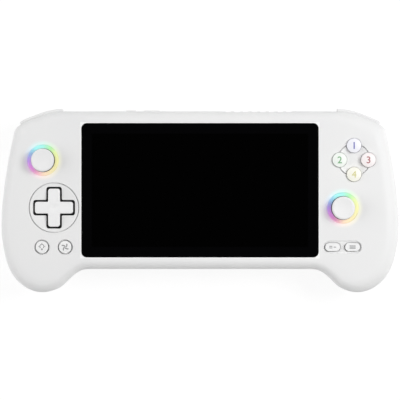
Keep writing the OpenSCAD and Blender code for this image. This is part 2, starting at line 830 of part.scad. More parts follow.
// fin stack behind the vents
fin_n = 20;
fin_pitch = 1.8;
fin_t = 0.4;
fin_x = fan_at[0] - 15;
fin_w = (fin_n - 1) * fin_pitch + fin_t;
fin_y0 = deck_top - 8.4;
fin_y1 = deck_top - 3.1;
fin_low = back_z + 3.1;
fin_base = 0.5;
module fin_stack() {
    color(steel) difference() {
        union() {
            box(fin_x, fin_x + fin_w, fin_y0, fin_y1, fin_low, fin_low + fin_base);
            for (i = [0 : fin_n - 1])
                translate([fin_x + i * fin_pitch, 0, 0])
                    box(0, fin_t, fin_y0, fin_y1, fin_low, part_z - fin_base);
        }
        box(fin_x - past, fin_x + fin_w + past, pipe_y - pipe_w / 2 - fit, pipe_y + pipe_w / 2 + fit,
            pipe_top - pipe_t - fit, pipe_top + fit);
    }
}

// fan housing with its axle
fan_low = floor_z + fit;
fan_plate = 0.8;
axle_r = 0.9;
fan_mouth = 22;
inlet_n = 8;
inlet_r = 2.3;
inlet_at = 7.5;
hub_r = 5;
hub_gap = 0.4;
blade_t = 0.7;
blade_lean = 12;
blade_sink = 0.5;
module fan_housing() {
    color(dark) translate([fan_at[0], fan_at[1], 0]) difference() {
        union() {
            difference() {
                box(-fan_w / 2, fan_w / 2, -fan_w / 2, fan_w / 2, fan_low, fan_low + fan_t);
                post([0, 0], fan_r + past, fan_low + fan_plate, fan_low + fan_t - fan_plate);
                box(-fan_mouth / 2, fan_mouth / 2, 0, fan_w,
                    fan_low + fan_plate, fan_low + fan_t - fan_plate);
            }
            post([0, 0], axle_r, fan_low, fan_low + fan_t - fan_plate);
        }
        for (i = [0 : inlet_n - 1])
            rotate([0, 0, i * 360 / inlet_n])
                post([inlet_at, 0], inlet_r, fan_low - past, fan_low + fan_plate + fit);
    }
}

// fan wheel
module fan_rotor() {
    color(black) translate([fan_at[0], fan_at[1], fan_low + fan_plate + hub_gap]) difference() {
        union() {
            cylinder(r = hub_r, h = fan_t - 2 * fan_plate - 2 * hub_gap);
            for (i = [0 : fan_blades - 1])
                rotate([0, 0, i * 360 / fan_blades]) translate([hub_r - blade_sink, -blade_t / 2, hub_gap])
                    rotate([0, 0, blade_lean])
                        cube([fan_r - hub_r, blade_t, fan_t - 2 * fan_plate - 4 * hub_gap]);
        }
        translate([0, 0, -past]) cylinder(r = axle_r + run, h = fan_t);
    }
}

// battery
battery_r = 2;
module battery() {
    color(dark) translate([battery_at[0], battery_at[1], 0])
        slab(battery_w, battery_h, battery_r, floor_z + fit, floor_z + fit + battery_t);
}

// boards under the keys
board_in_x = 69.5;
board_out_x = 101.5;
board_in = side_x(board_in_x);
board_out = side_x(board_out_x);
board_h = 73;
board_y = -2;
board_r = 3;
module control_board(s, stick) {
    difference() {
        translate([s * (board_in + board_out) / 2, board_y, 0])
            slab(board_out - board_in, board_h, board_r, board_low, board_top);
        translate([stick[0], stick[1], 0])
            slab(module_w + 2 * run, module_w + 2 * run, module_r, board_low - past, board_top + past);
        for (p = board_boss_at)
            post([s * p[0], p[1]], screw_hole_r, board_low - past, board_top + past);
        for (i = [1, 2])
            post([s * case_screw_at[i][0], case_screw_at[i][1]], well_r + well_wall + shoulder_room,
                board_low - past, board_top + past);
    }
}

module left_control_board() {
    color(green) control_board(-1, stick_l);
}

module right_control_board() {
    color(green) control_board(1, stick_r);
}

// board behind the power and volume keys
switch_in = 6.4;
switch_t = 0.8;
switch_w = 3;
switch_h = 2.4;
switch_step = 3;
top_board_end = 5;
top_board_gap = 0.5;
switch_y = deck_top - switch_in;
module top_key_board() {
    color(green) {
        box(power_at - top_board_end, volume_at + volume_w / 2 + top_board_end / 2,
            switch_y - board_t, switch_y, floor_z + top_board_gap, part_z - top_board_gap);
        for (x = [power_at, volume_at - switch_step, volume_at + switch_step])
            translate([x, switch_y, edge_key_z])
                box(-switch_w / 2, switch_w / 2, -fit, switch_t, -switch_h / 2, switch_h / 2);
    }
}

// speakers
speaker_r = 2;
speaker_rim = 1.2;
module speaker(s) {
    translate([s * speaker_at[0], speaker_at[1], 0]) difference() {
        slab(speaker_w, speaker_h, speaker_r, floor_z + fit, floor_z + fit + speaker_t);
        slab(speaker_w - 2 * speaker_rim, speaker_h - 2 * speaker_rim, speaker_r - speaker_rim / 2,
            floor_z - past, floor_z + past);
    }
}

module left_speaker() {
    color(dark) speaker(-1);
}

module right_speaker() {
    color(dark) speaker(1);
}

// charging port
port_face = 0.4 - deck_low;
usb_wall = 0.3;
usb_back = 0.8;
tongue_w = 6.7;
tongue_t = 0.7;
tongue_r = 0.2;
module usb_port() {
    color(steel) translate([usb_at, port_face + usb_l, usb_z]) rotate([90, 0, 0]) {
        difference() {
            slab(usb_w, usb_h, usb_h / 2 - fit / 2, 0, usb_l);
            slab(usb_w - 2 * usb_wall, usb_h - 2 * usb_wall, usb_h / 2 - usb_wall - fit,
                usb_back, usb_l + past);
        }
        slab(tongue_w, tongue_t, tongue_r, usb_back / 2, usb_l - usb_back);
    }
}

// audio jack
jack_w = 6.6;
jack_in = 3.6;
jack_up = 0.7;
module audio_jack() {
    color(black) translate([jack_at, 0, 0]) difference() {
        union() {
            box(-jack_w / 2, jack_w / 2, jack_in - deck_low, jack_l + past - deck_low,
                floor_z + jack_up, main_low - fit);
            translate([0, 0, jack_z]) pin_y(jack_nose_r, port_face, port_in - deck_low);
        }
        translate([0, 0, jack_z]) pin_y(jack_r, port_face - past, port_face + jack_l);
    }
}

// card socket
card_wall = 0.95;
card_in = 2.3;
card_l = 12;
module card_socket() {
    color(steel) translate([card_at, -deck_low, 0]) difference() {
        box(-card_w / 2 - card_wall, card_w / 2 + card_wall, card_in, card_in + card_l + card_wall,
            card_z - card_wall, main_low - fit);
        box(-card_w / 2, card_w / 2, 0, card_in + card_l, card_z - card_h / 2, card_z + card_h / 2);
    }
}

// ribbon cables
flex_t = 0.2;
flex_z = main_top + 0.4;
flex_y = 5.2;
flex_w = 4;
flex_foot = 2.5;
flex_far = board_in + 1 + flex_foot;
module flex(x0) {
    box(x0, flex_far, flex_y, flex_y + flex_w, flex_z, flex_z + flex_t);
    box(flex_far - flex_foot, flex_far, flex_y, flex_y + flex_w, board_top + fit, flex_z + fit);
    box(x0, x0 + flex_foot, flex_y, flex_y + flex_w, main_top + fit, flex_z + fit);
}

module left_flex() {
    color(copper) mirror([1, 0, 0]) flex(deck_x(main_left - 5));
}

module right_flex() {
    color(copper) flex(deck_x(main_right - 8));
}

// thumb stick pieces
module_r = 0.5;
module_low = pivot_z - 5.4;
module_top = pivot_z + 2.1;
module_floor = 1.2;
ear_h = 8;
click_r = 1.2;
click_top = pivot_z - 3.5;
gimbal_room = 0.8;
pin_sink = 0.4;
pin_gap = 0.2;
shaft_low = pivot_z - 2.6;
module stick_module(p) {
    translate([p[0], p[1], 0]) {
        difference() {
            union() {
                slab(module_w, module_w, module_r, module_low, module_top);
                box(-ear_w / 2, ear_w / 2, -ear_h / 2, ear_h / 2, board_top + fit, module_top);
            }
            slab(module_w - 2 * module_wall, module_w - 2 * module_wall, module_r, module_low + module_floor,
                module_top + past);
            translate([0, 0, pivot_z]) pin_x(stick_pin_r + run, -ear_w / 2 - past, ear_w / 2 + past);
        }
        post([0, 0], click_r, module_low + module_floor - pin_sink, click_top);
    }
}

module stick_gimbal(p) {
    translate([p[0], p[1], pivot_z]) {
        difference() {
            cube([gimbal_w, gimbal_h, gimbal_t], center = true);
            cube([rocker_w + 2 * gimbal_room, rocker_h + 1.5 * gimbal_room, gimbal_t + past], center = true);
            pin_y(stick_pin_r + run, -gimbal_h, gimbal_h);
        }
        pin_x(stick_pin_r, gimbal_w / 2 - pin_sink, module_w / 2 - pin_gap);
        pin_x(stick_pin_r, pin_gap - module_w / 2, pin_sink - gimbal_w / 2);
    }
}

module stick_rocker(p) {
    translate([p[0], p[1], pivot_z]) {
        difference() {
            cube([rocker_w, rocker_h, gimbal_t + pin_sink], center = true);
            cylinder(r = shaft_r + run, h = gimbal_h, center = true);
        }
        pin_y(stick_pin_r, rocker_h / 2 - pin_sink, gimbal_h / 2 - pin_gap);
        pin_y(stick_pin_r, pin_gap - gimbal_h / 2, pin_sink - rocker_h / 2);
    }
}

cap_low = front_z + cap_lift;
cap_top = cap_low + cap_t;
shaft_top = pivot_z + dome_r + 0.6;
cap_rim = 1.2;
cap_edge = 0.7;
module stick_shaft(p) {
    post(p, shaft_r, shaft_low, shaft_top);
}

module stick_cap(p) {
    hollow_r = cap_r - cap_rim;
    big = (hollow_r * hollow_r + cap_hollow * cap_hollow) / (2 * cap_hollow);
    translate([p[0], p[1], 0]) difference() {
        union() {
            intersection() {
                translate([0, 0, pivot_z]) difference() {
                    sphere(r = dome_r, $fn = 96);
                    sphere(r = dome_r - dome_t, $fn = 96);
                }
                translate([0, 0, pivot_z])
                    cylinder(r1 = 0, r2 = 2 * dome_r * tan(dome_angle), h = 2 * dome_r);
            }
            post([0, 0], neck_r, pivot_z + dome_r - dome_t, cap_low + pin_sink);
            translate([0, 0, cap_low]) rotate_extrude() polygon([
                [0, 0], [cap_r - cap_edge, 0], [cap_r, cap_edge],
                [cap_r, cap_t - 1.4 * cap_edge], [cap_r - 0.4 * cap_edge, cap_t - 0.4 * cap_edge],
                [cap_r - 1.4 * cap_edge, cap_t], [0, cap_t]]);
        }
        translate([0, 0, cap_top - cap_hollow + big]) sphere(r = big, $fn = 96);
        post([0, 0], shaft_r + fit / 2, pivot_z, shaft_top + fit);
    }
}

ring_cut = 1.2;
ring_lip = 1.1;
ring_rim_t = 0.8;
ring_edge = 0.3;
module light_ring(p) {
    translate([p[0], p[1], 0]) rotate_extrude() polygon([[ring_in + ring_cut, wall_z - fit - ring_rim_t],
        [ring_flange, wall_z - fit - ring_rim_t], [ring_flange, wall_z - fit], [ring_out, wall_z - fit],
        [ring_out, front_z + ring_proud - ring_edge], [ring_out - ring_edge, front_z + ring_proud],
        [ring_in, front_z + ring_proud], [ring_in, front_z - ring_lip],
        [ring_in + ring_cut, wall_z - 2 * fit]]);
}

module left_stick_module() {
    color(dark) stick_module(stick_l);
}

module left_stick_gimbal() {
    color(steel) stick_gimbal(stick_l);
}

module left_stick_rocker() {
    color(black) stick_rocker(stick_l);
}

module left_stick_shaft() {
    color(steel) stick_shaft(stick_l);
}

module left_stick_cap() {
    color(white) stick_cap(stick_l);
}

module left_light_ring() {
    color(white) light_ring(stick_l);
}

module right_stick_module() {
    color(dark) stick_module(stick_r);
}

module right_stick_gimbal() {
    color(steel) stick_gimbal(stick_r);
}

module right_stick_rocker() {
    color(black) stick_rocker(stick_r);
}

module right_stick_shaft() {
    color(steel) stick_shaft(stick_r);
}

module right_stick_cap() {
    color(white) stick_cap(stick_r);
}

module right_light_ring() {
    color(white) light_ring(stick_r);
}

// cross pad pieces
dpad_pivot_z = board_top + 1.6;
dpad_rim_top = wall_z - dpad_pad_t - 1.2;
dpad_rim_t = 1;
dpad_rim_in = 7.6;
dpad_hollow = 0.7;
lug_w = 3.2;
lug_in = 3.9;
lug_out = 5.3;
lug_end = 1.3;
pad_lug_end = 1.2;
hub_w = 2.4;
hub_h = 2;
foot_t = 0.25;
module dpad() {
    color(white) translate([dpad_at[0], dpad_at[1], 0]) {
        difference() {
            union() {
                translate([0, 0, dpad_rim_top - dpad_rim_t])
                    linear_extrude(front_z + dpad_proud - dpad_rim_top + dpad_rim_t)
                        cross(dpad_w, dpad_arm, dpad_corner);
                post([0, 0], dpad_flange, dpad_rim_top - dpad_rim_t, dpad_rim_top);
            }
            post([0, 0], dpad_rim_in, dpad_rim_top - 2 * dpad_rim_t, dpad_rim_top + dpad_hollow);
        }
        for (a = [0, 180])
            rotate([0, 0, a]) difference() {
                box(-lug_w / 2, lug_w / 2, lug_in, lug_out,
                    dpad_pivot_z - pad_lug_end, dpad_rim_top + dpad_hollow + pin_gap);
                translate([0, 0, dpad_pivot_z]) pin_y(dpad_pin_r + run, lug_in - past, lug_out + past);
            }
    }
}

module dpad_pivot() {
    color(steel) translate([dpad_at[0], dpad_at[1], dpad_pivot_z]) {
        cube([hub_w, hub_w, hub_h], center = true);
        pin_x(dpad_pin_r, fit - lug_out, lug_out - fit);
        pin_y(dpad_pin_r, fit - lug_out, lug_out - fit);
    }
}

module dpad_bracket() {
    color(dark) translate([dpad_at[0], dpad_at[1], 0]) {
        box(-lug_out, lug_out, -lug_w / 2, lug_w / 2, board_top + fit / 2, board_top + foot_t);
        for (a = [0, 180])
            rotate([0, 0, a]) difference() {
                box(lug_in, lug_out, -lug_w / 2, lug_w / 2, board_top + fit / 2, dpad_pivot_z + lug_end);
                translate([0, 0, dpad_pivot_z]) pin_x(dpad_pin_r + run, lug_in - past, lug_out + past);
            }
    }
}

module dpad_membrane() {
    color(dark) difference() {
        post(dpad_at, dpad_flange, board_top + fit / 2, board_top + membrane_t);
        post(dpad_at, dpad_rim_in + lug_end / 2, board_top - past, board_top + membrane_t + past);
    }
}

// face keys
face_crown = 14;
dome_top_r = 2;
face_skirt = 3.4;
module face_button(d) {
    p = face_at + face_spread * d;
    top = front_z + face_proud;
    intersection() {
        union() {
            post(p, face_r, key_stop + face_travel, top);
            post(p, face_r + key_rim, rim_top - key_rim_t, rim_top);
        }
        translate([p[0], p[1], top - face_crown]) sphere(r = face_crown, $fn = 96);
    }
}

module face_button_top() {
    color(white) face_button(face_dirs[0]);
}

module face_button_left() {
    color(white) face_button(face_dirs[1]);
}

module face_button_right() {
    color(white) face_button(face_dirs[2]);
}

module face_button_bottom() {
    color(white) face_button(face_dirs[3]);
}

module face_membrane() {
    color(dark) {
        post(face_at, face_spread + face_skirt, board_top + fit / 2, board_top + membrane_t);
        for (d = face_dirs)
            post(face_at + face_spread * d, dome_top_r,
                board_top + membrane_t / 2, board_top + membrane_t + membrane_dome);
    }
}

// small keys
small_crown = 22;
small_stem = wall_z - 2.8;
pill_edge = 0.3;
sheet_r = 2;
left_sheet = 9;
right_sheet = 6;
module round_key(p) {
    top = front_z + small_proud;
    intersection() {
        union() {
            post(p, small_r, small_stem, top);
            post(p, small_r + key_rim, rim_top - key_rim_t, rim_top);
        }
        translate([p[0], p[1], top - small_crown]) sphere(r = small_crown, $fn = 96);
    }
}

module pill_key(p) {
    translate([p[0], p[1], 0]) {
        slab(pill_w, pill_h, pill_h / 2 - fit / 2, small_stem, front_z + small_proud - pill_edge);
        slab(pill_w + 2 * pill_rim, pill_h + 2 * pill_rim, pill_h / 2, rim_top - key_rim_t, rim_top);
    }
}

module light_button() {
    color(white) round_key(light_at);
}

module fan_button() {
    color(white) round_key(fan_key_at);
}

module left_key_membrane() {
    color(dark) translate([left_keys_at[0], left_keys_at[1], 0])
        slab(fan_key_at[0] - light_at[0] + left_sheet, left_sheet, sheet_r,
            board_top + fit / 2, board_top + membrane_t);
}

module select_button() {
    color(white) pill_key(select_at);
}

module start_button() {
    color(white) pill_key(start_at);
}

module right_key_membrane() {
    color(dark) translate([pills_at[0], pills_at[1], 0])
        slab(start_at[0] - select_at[0] + left_sheet, right_sheet, sheet_r,
            board_top + fit / 2, board_top + membrane_t);
}

// keys in the top edge
edge_rim_x = 1;
edge_rim_low = 0.4;
edge_rim_top = 0.6;
power_back = 4.3;
power_rim = 3.3;
volume_back = 5.1;
volume_rim = 3.5;
module edge_key(w, back, rim) {
    box(-w / 2, w / 2, -back, edge_key_proud, -edge_key_h / 2, edge_key_h / 2);
    box(-w / 2 - edge_rim_x, w / 2 + edge_rim_x, -back, -rim,
        -edge_key_h / 2 - edge_rim_low, edge_key_h / 2 + edge_rim_top);
}

module power_button() {
    color(white) translate([power_at, deck_top, edge_key_z]) edge_key(power_w, power_back, power_rim);
}

module volume_rocker() {
    color(white) translate([volume_at, deck_top, edge_key_z]) difference() {
        edge_key(volume_w, volume_back, volume_rim);
        post([0, -rocker_pin_in], rocker_pin_r + run, -edge_key_h, edge_key_h);
    }
}

// shoulder keys
bumper_top = part_z - run;
bumper_low = bumper_top - bumper_h;
bumper_lip = 0.5;
bumper_hub_r = 2.1;
module bumper() {
    difference() {
        union() {
            translate([0, 0, bumper_low]) linear_extrude(bumper_h)
                edge_band(bumper_proud - bumper_lip, bumper_in);
            translate([0, 0, bumper_low + 2 * bumper_lip]) linear_extrude(bumper_h - 3 * bumper_lip)
                edge_band(bumper_proud, bumper_in);
            post(bumper_pin_at, bumper_hub_r, bumper_low, bumper_top);
            translate([bumper_pin_at[0], 0, 0])
                box(-bumper_hub_r, bumper_hub_r, bumper_pin_at[1], deck_top - past, bumper_low, bumper_top);
        }
        post(bumper_pin_at, shoulder_pin_r + run, 0, part_z + past);
    }
}

module left_bumper() {
    color(white) mirror([1, 0, 0]) bumper();
}

module right_bumper() {
    color(white) bumper();
}

trigger_top = bumper_low - shoulder_room;
trigger_x0 = shoulder_x + shoulder_room / 2;
trigger_end = half_w - trigger_out;
trigger_hub = 1.7;
trigger_web = trigger_pin_z - trigger_hub;
trigger_rows = 6;
horn_taper = 0.2;
spring_x = half_w - 24;
spring_w = 5;
spring_room = 2.2;
pin_hold = 1.7;
pin_start = shoulder_x - pin_hold;
pin_end = trigger_end + shoulder_room + pin_hold;

// curved horn of the trigger, a band behind the case edge that curls back to its tip
function horn_z(k) = trigger_top + (trigger_tip - trigger_top) * k / trigger_rows;
function horn_out(k) = trigger_set + trigger_curl * pow(k / trigger_rows, 2);
function horn_in(k) = trigger_set + trigger_t + horn_taper * trigger_curl * pow(k / trigger_rows, 2);
module horn() {
    path = edge_path;
    m = len(path);
    ring = 2 * m;
    points = [for (k = [0 : trigger_rows])
        for (i = [0 : ring - 1])
            let(p = i < m ? inset(path[i], horn_out(k)) : inset(path[ring - 1 - i], horn_in(k)))
                [p[0], p[1], horn_z(k)]];
    sides = [for (k = [0 : trigger_rows - 1])
        for (i = [0 : ring - 1])
            let(a = k * ring + i, b = k * ring + (i + 1) % ring)
                each [[a, a + ring, b + ring], [a, b + ring, b]]];
    ends = [for (i = [0 : m - 2])
        let(a = trigger_rows * ring, b = ring - 1 - i)
            each [[i, i + 1, b - 1], [i, b - 1, b],
                [a + i, a + b - 1, a + i + 1], [a + i, a + b, a + b - 1]]];
    polyhedron(points = points, faces = concat(sides, ends), convexity = 4);
}

module trigger() {
    difference() {
        intersection() {
            union() {
                horn();
                translate([0, 0, trigger_web]) linear_extrude(trigger_top - trigger_web)
                    edge_field(-trigger_set - past, trigger_pin_y);
                translate([0, trigger_pin_y, trigger_pin_z]) pin_x(trigger_hub, trigger_x0, trigger_end);
            }
            box(trigger_x0, trigger_end, 0, deck_top + far, 0, part_z);
        }
        translate([0, trigger_pin_y, trigger_pin_z]) pin_x(shoulder_pin_r + run, 0, half_w);
        box(spring_x, spring_x + spring_w, 0, trigger_pin_y + spring_room, trigger_web - past, part_z);
    }
}

module left_trigger() {
    color(white) mirror([1, 0, 0]) trigger();
}

module right_trigger() {
    color(white) trigger();
}

// pins of the shoulder keys
module shoulder_pins() {
    color(steel) on_both_sides() {
        post(bumper_pin_at, shoulder_pin_r - fit / 2, bumper_low - fit, wall_z - hole_end - past);
        translate([0, trigger_pin_y, trigger_pin_z])
            pin_x(shoulder_pin_r - fit / 2, pin_start, pin_end);
    }
}

// return springs of the triggers, each one wire wound round the pin
// with a leg on the case and one on the trigger
wire_r = 0.25;
coil_r = 1.45;
coil_pitch = 0.95;
coil_turns = 3.5;
coil_steps = 8;
wire_sides = 6;
leg_up = 1.5;
leg_room = 0.05;
coil_n = coil_turns * coil_steps;
coil_x = spring_x + (spring_w - coil_pitch * coil_turns) / 2;
coil = [for (i = [0 : coil_n])
    let(a = 360 * i / coil_steps) [coil_pitch * i / coil_steps, -coil_r * cos(a), -coil_r * sin(a)]];
leg_back = [0, shoulder_back - trigger_pin_y + wire_r + leg_room, leg_up];
leg_front = [coil_pitch * coil_turns, spring_room - wire_r - leg_room, leg_up];
wire = concat([leg_back], coil, [leg_front]);
wire_n = len(wire);
wire_gap = min([for (i = [0 : wire_n - 1])
    for (j = [i + coil_steps / 2 + 1 : 1 : wire_n - 1])
        norm(wire[i] - wire[j])]) - 2 * wire_r;
echo(str("least gap of a trigger spring to itself, mm: ", wire_gap));

function unit(v) = v / norm(v);
function wire_ring(k) = let(
    t = unit(wire[min(k + 1, wire_n - 1)] - wire[max(k - 1, 0)]),
    n = unit([1, 0, 0] - t[0] * t),
    b = cross(t, n)) [for (i = [0 : wire_sides - 1])
        let(a = 360 * i / wire_sides) wire[k] + wire_r * (cos(a) * n + sin(a) * b)];

module spring() {
    points = [for (k = [0 : wire_n - 1]) each wire_ring(k)];
    sides = [for (k = [0 : wire_n - 2])
        for (i = [0 : wire_sides - 1])
            let(a = k * wire_sides + i, b = k * wire_sides + (i + 1) % wire_sides)
                each [[a, a + wire_sides, b + wire_sides], [a, b + wire_sides, b]]];
    last = (wire_n - 1) * wire_sides;
    ends = [for (i = [1 : wire_sides - 2])
        each [[0, i, i + 1], [last, last + i + 1, last + i]]];
    polyhedron(points = points, faces = concat(sides, ends), convexity = 8);
}

module trigger_springs() {
    color(steel) on_both_sides() translate([coil_x, trigger_pin_y, trigger_pin_z]) spring();
}

front_shell();
rear_shell();
screen_lens();
lens_gasket();
display_panel();
case_screws();
board_screws();
main_board();
chip_shield();
heat_pipe();
fin_stack();
fan_housing();
fan_rotor();
battery();
left_control_board();
right_control_board();
top_key_board();
left_speaker();
right_speaker();
usb_port();
audio_jack();
card_socket();
left_flex();
right_flex();
left_stick_module();
left_stick_gimbal();
left_stick_rocker();
left_stick_shaft();
left_stick_cap();
left_light_ring();
right_stick_module();
right_stick_gimbal();
right_stick_rocker();
right_stick_shaft();
right_stick_cap();
right_light_ring();
dpad();
dpad_pivot();
dpad_bracket();
dpad_membrane();
face_button_top();
face_button_left();
face_button_right();
face_button_bottom();
face_membrane();
light_button();
fan_button();
left_key_membrane();
select_button();
start_button();
right_key_membrane();
power_button();
volume_rocker();
left_bumper();
right_bumper();
left_trigger();
right_trigger();
shoulder_pins();
trigger_springs();
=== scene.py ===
import json
import math

import bmesh
import bpy
import numpy as np
from mathutils import Matrix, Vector
from mathutils.geometry import delaunay_2d_cdt

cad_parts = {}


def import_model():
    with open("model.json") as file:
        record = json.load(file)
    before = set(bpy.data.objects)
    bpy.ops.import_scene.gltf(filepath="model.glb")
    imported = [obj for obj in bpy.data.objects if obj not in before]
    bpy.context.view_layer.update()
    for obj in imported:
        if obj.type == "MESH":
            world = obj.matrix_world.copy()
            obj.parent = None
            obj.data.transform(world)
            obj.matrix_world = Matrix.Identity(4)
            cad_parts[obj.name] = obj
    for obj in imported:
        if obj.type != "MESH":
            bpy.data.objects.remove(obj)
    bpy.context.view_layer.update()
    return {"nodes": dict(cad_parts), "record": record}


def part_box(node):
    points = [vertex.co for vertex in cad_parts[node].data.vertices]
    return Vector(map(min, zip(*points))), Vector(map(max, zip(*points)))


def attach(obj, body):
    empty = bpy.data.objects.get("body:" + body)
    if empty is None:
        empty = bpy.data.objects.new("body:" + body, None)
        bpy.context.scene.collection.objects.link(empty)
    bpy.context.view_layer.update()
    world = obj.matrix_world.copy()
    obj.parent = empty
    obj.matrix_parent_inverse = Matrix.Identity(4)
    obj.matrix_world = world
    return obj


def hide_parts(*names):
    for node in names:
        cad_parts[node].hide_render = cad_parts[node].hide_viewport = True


# Looks of a white handheld game console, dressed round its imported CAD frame. Sizes are in millimetres.

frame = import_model()

MM = 0.001
NODE_BODY = {n: b for b, nodes in frame["record"]["behaviour"]["bodies"].items() for n in nodes}
NODE_SLOT = {s["node"]: s["material_slot"] for s in frame["record"]["subparts"]}


def span(node):
    """Lowest and highest corner of a CAD node."""
    lo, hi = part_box(node)
    return np.array(lo) / MM, np.array(hi) / MM


def centre(node):
    """Middle of a CAD node's box."""
    lo, hi = span(node)
    return (lo + hi) / 2


# Sizes of the case, taken from the frame where it shows them.
HALF_W, DECK_TOP, FRONT_Z = span("front_shell")[1]
GRIP_LOW = -span("front_shell")[0][1]
SEAM_Z = span("front_shell")[0][2]
PART_Z = span("rear_shell")[1][2]
SEAM = SEAM_Z - PART_Z
FRONT_H = FRONT_Z - PART_Z
DECK_LOW = 38.6
DECK_T = 15.5
GRIP_MID = -14.0
WALL = 1.8
FRONT_R, FRONT_GRIP_R = 5.0, 8.0
REAR_R, GRIP_R = 4.5, 18.0
GRIP_RUN_OUT, GRIP_RUN = 53.5, 26.0
GRIP_TOP, GRIP_RISE = 38.0, 22.0
FRONT_RUN_OUT, FRONT_RUN = 40.0, 25.0
BACK_Z = FRONT_Z - DECK_T
REAR_H = PART_Z - BACK_Z
WALL_Z = FRONT_Z - WALL
FLOOR_Z = BACK_Z + WALL
FIT, RUN = 0.1, 0.3
RIM = 0.25          # rounding of hole rims in the face
SEAM_ROUND = 0.2    # rounding of both halves at the seam
EDGE_D = 4.2        # width of the structured band along the outline
FINE = 4            # outline points for each one of the CAD outline

STICKS = {side: centre(f"{side}_stick_cap")[:2] for side in ("left", "right")}
RING_R = {side: (span(f"{side}_light_ring")[1][0] - span(f"{side}_light_ring")[0][0]) / 2 for side in STICKS}
RING_OUT, RING_IN, RING_LIP = 8.65, 6.7, 1.1


# Materials

def linear(code):
    """Linear colour of an sRGB hex value."""
    values = [int(code[i:i + 2], 16) / 255 for i in (1, 3, 5)]
    return (*[v / 12.92 if v <= 0.04045 else ((v + 0.055) / 1.055) ** 2.4 for v in values], 1.0)


def add(tree, kind, settings=(), links=()):
    """One node with its settings, by property or socket, and its incoming links."""
    made = tree.nodes.new(kind)
    for key, value in dict(settings).items():
        if isinstance(key, int) or key in made.inputs.keys():
            made.inputs[key].default_value = value
        else:
            setattr(made, key, value)
    for key, source in dict(links).items():
        tree.links.new(source, made.inputs[key])
    return made


def maths(tree, operation, *values):
    """Outcome of one sum; each value is a number or a socket."""
    made = add(tree, "ShaderNodeMath", {"operation": operation})
    for socket, value in zip(made.inputs, values):
        if isinstance(value, float):
            socket.default_value = value
        else:
            tree.links.new(value, socket)
    return made.outputs[0]


def noise(tree, where, size, **settings):
    """Noise with spots of about the given size."""
    made = add(tree, "ShaderNodeTexNoise", {"Scale": 1 / (size * MM), **settings}, {"Vector": where})
    return made.outputs["Fac"]


def ranged(tree, value, low, high, start=0.0, end=1.0, **settings):
    """A value brought from the range start to end into the range low to high."""
    limits = {"From Min": start, "From Max": end, "To Min": low, "To Max": high, **settings}
    return add(tree, "ShaderNodeMapRange", limits, {"Value": value}).outputs["Result"]


def two_tones(tree, share, low, high):
    """Colour between two tones."""
    tones = {"data_type": "RGBA", 6: linear(low), 7: linear(high)}
    return add(tree, "ShaderNodeMix", tones, {"Factor": share}).outputs[2]


def feed(tree, shader, sources):
    """Links sockets to the inputs of a shader, by name."""
    for name, source in sources.items():
        tree.links.new(source, shader.inputs[name])


def piece_place(tree):
    """Place on the piece, in its own frame."""
    return add(tree, "ShaderNodeTexCoord").outputs["Object"]


def from_middle(tree, where, at):
    """Place on the piece, counted from a middle."""
    shift = {"Location": (-at[0] * MM, -at[1] * MM, 0.0)}
    return add(tree, "ShaderNodeMapping", shift, {"Vector": where}).outputs["Vector"]


def finish(name, colour, roughness, **sockets):
    """A material with a Principled shader, its tree and the shader."""
    made = bpy.data.materials.new(name)
    made.use_nodes = True
    tree = made.node_tree
    tree.nodes.clear()
    look = {"Base Color": linear(colour), "Roughness": roughness, **sockets}
    shader = add(tree, "ShaderNodeBsdfPrincipled", look)
    add(tree, "ShaderNodeOutputMaterial", links={"Surface": shader.outputs["BSDF"]})
    return made, tree, shader


def spark_texture(tree, shader, size, height, rough, strength=0.25):
    """Fine even grain of a mould that was spark eroded: bump and a little variation of roughness."""
    where = piece_place(tree)
    grain = noise(tree, where, size, Detail=3.0, Roughness=0.6)
    bump = add(tree, "ShaderNodeBump", {"Strength": strength, "Distance": height * MM}, {"Height": grain})
    feed(tree, shader, {"Roughness": ranged(tree, grain, *rough), "Normal": bump.outputs["Normal"]})
    return where


# Hues of the lit rings, from nine o'clock against the clock.
RING_HUES = [(0.0, "#C6A0F2"), (0.09, "#EE9CEC"), (0.17, "#F0B0CE"), (0.25, "#F0D2BC"), (0.35, "#EEE2B4"),
             (0.5, "#F0EEAE"), (0.59, "#E2F0AC"), (0.67, "#AEE9AC"), (0.75, "#A2E8DE"), (0.84, "#A2E8E8"),
             (0.92, "#A2C6EC"), (1.0, "#C6A0F2")]


def ring_colour(tree, where, at):
    """Place counted from a stick centre, and the hue that runs round it."""
    there = from_middle(tree, where, at)
    angle = add(tree, "ShaderNodeTexGradient", {"gradient_type": "RADIAL"}, {"Vector": there})
    ramp = add(tree, "ShaderNodeValToRGB", links={"Fac": angle.outputs["Fac"]})
    stops = ramp.color_ramp.elements
    while len(stops) < len(RING_HUES):
        stops.new(0.5)
    for stop, (place, code) in zip(stops, RING_HUES):
        stop.position, stop.color = place, linear(code)
    return there, ramp.outputs["Color"]


RING_LEVEL = 0.22    # light of the rings themselves
GLOW_REACH = 3.6     # how far the painted ring light spreads over the shell
GLOW_SHARE = 0.36    # most of a ring hue painted into the shell's colour as ring light
GLOW_LEVEL = 0.52    # strength of the ring light painted on the shell as a glow
PAINTED_RIM_HIGHLIGHT = 0.5     # width of a highlight painted on the shell round the glass
SCREEN_IN = 6.0      # border printed round the screen
FADE = 0.3           # width over which the painted highlight and the printed border end
LENS_LO, LENS_HI = span("screen_lens")
LENS_AT = centre("screen_lens")[:2]
LENS_W, LENS_H = (LENS_HI - LENS_LO)[:2]


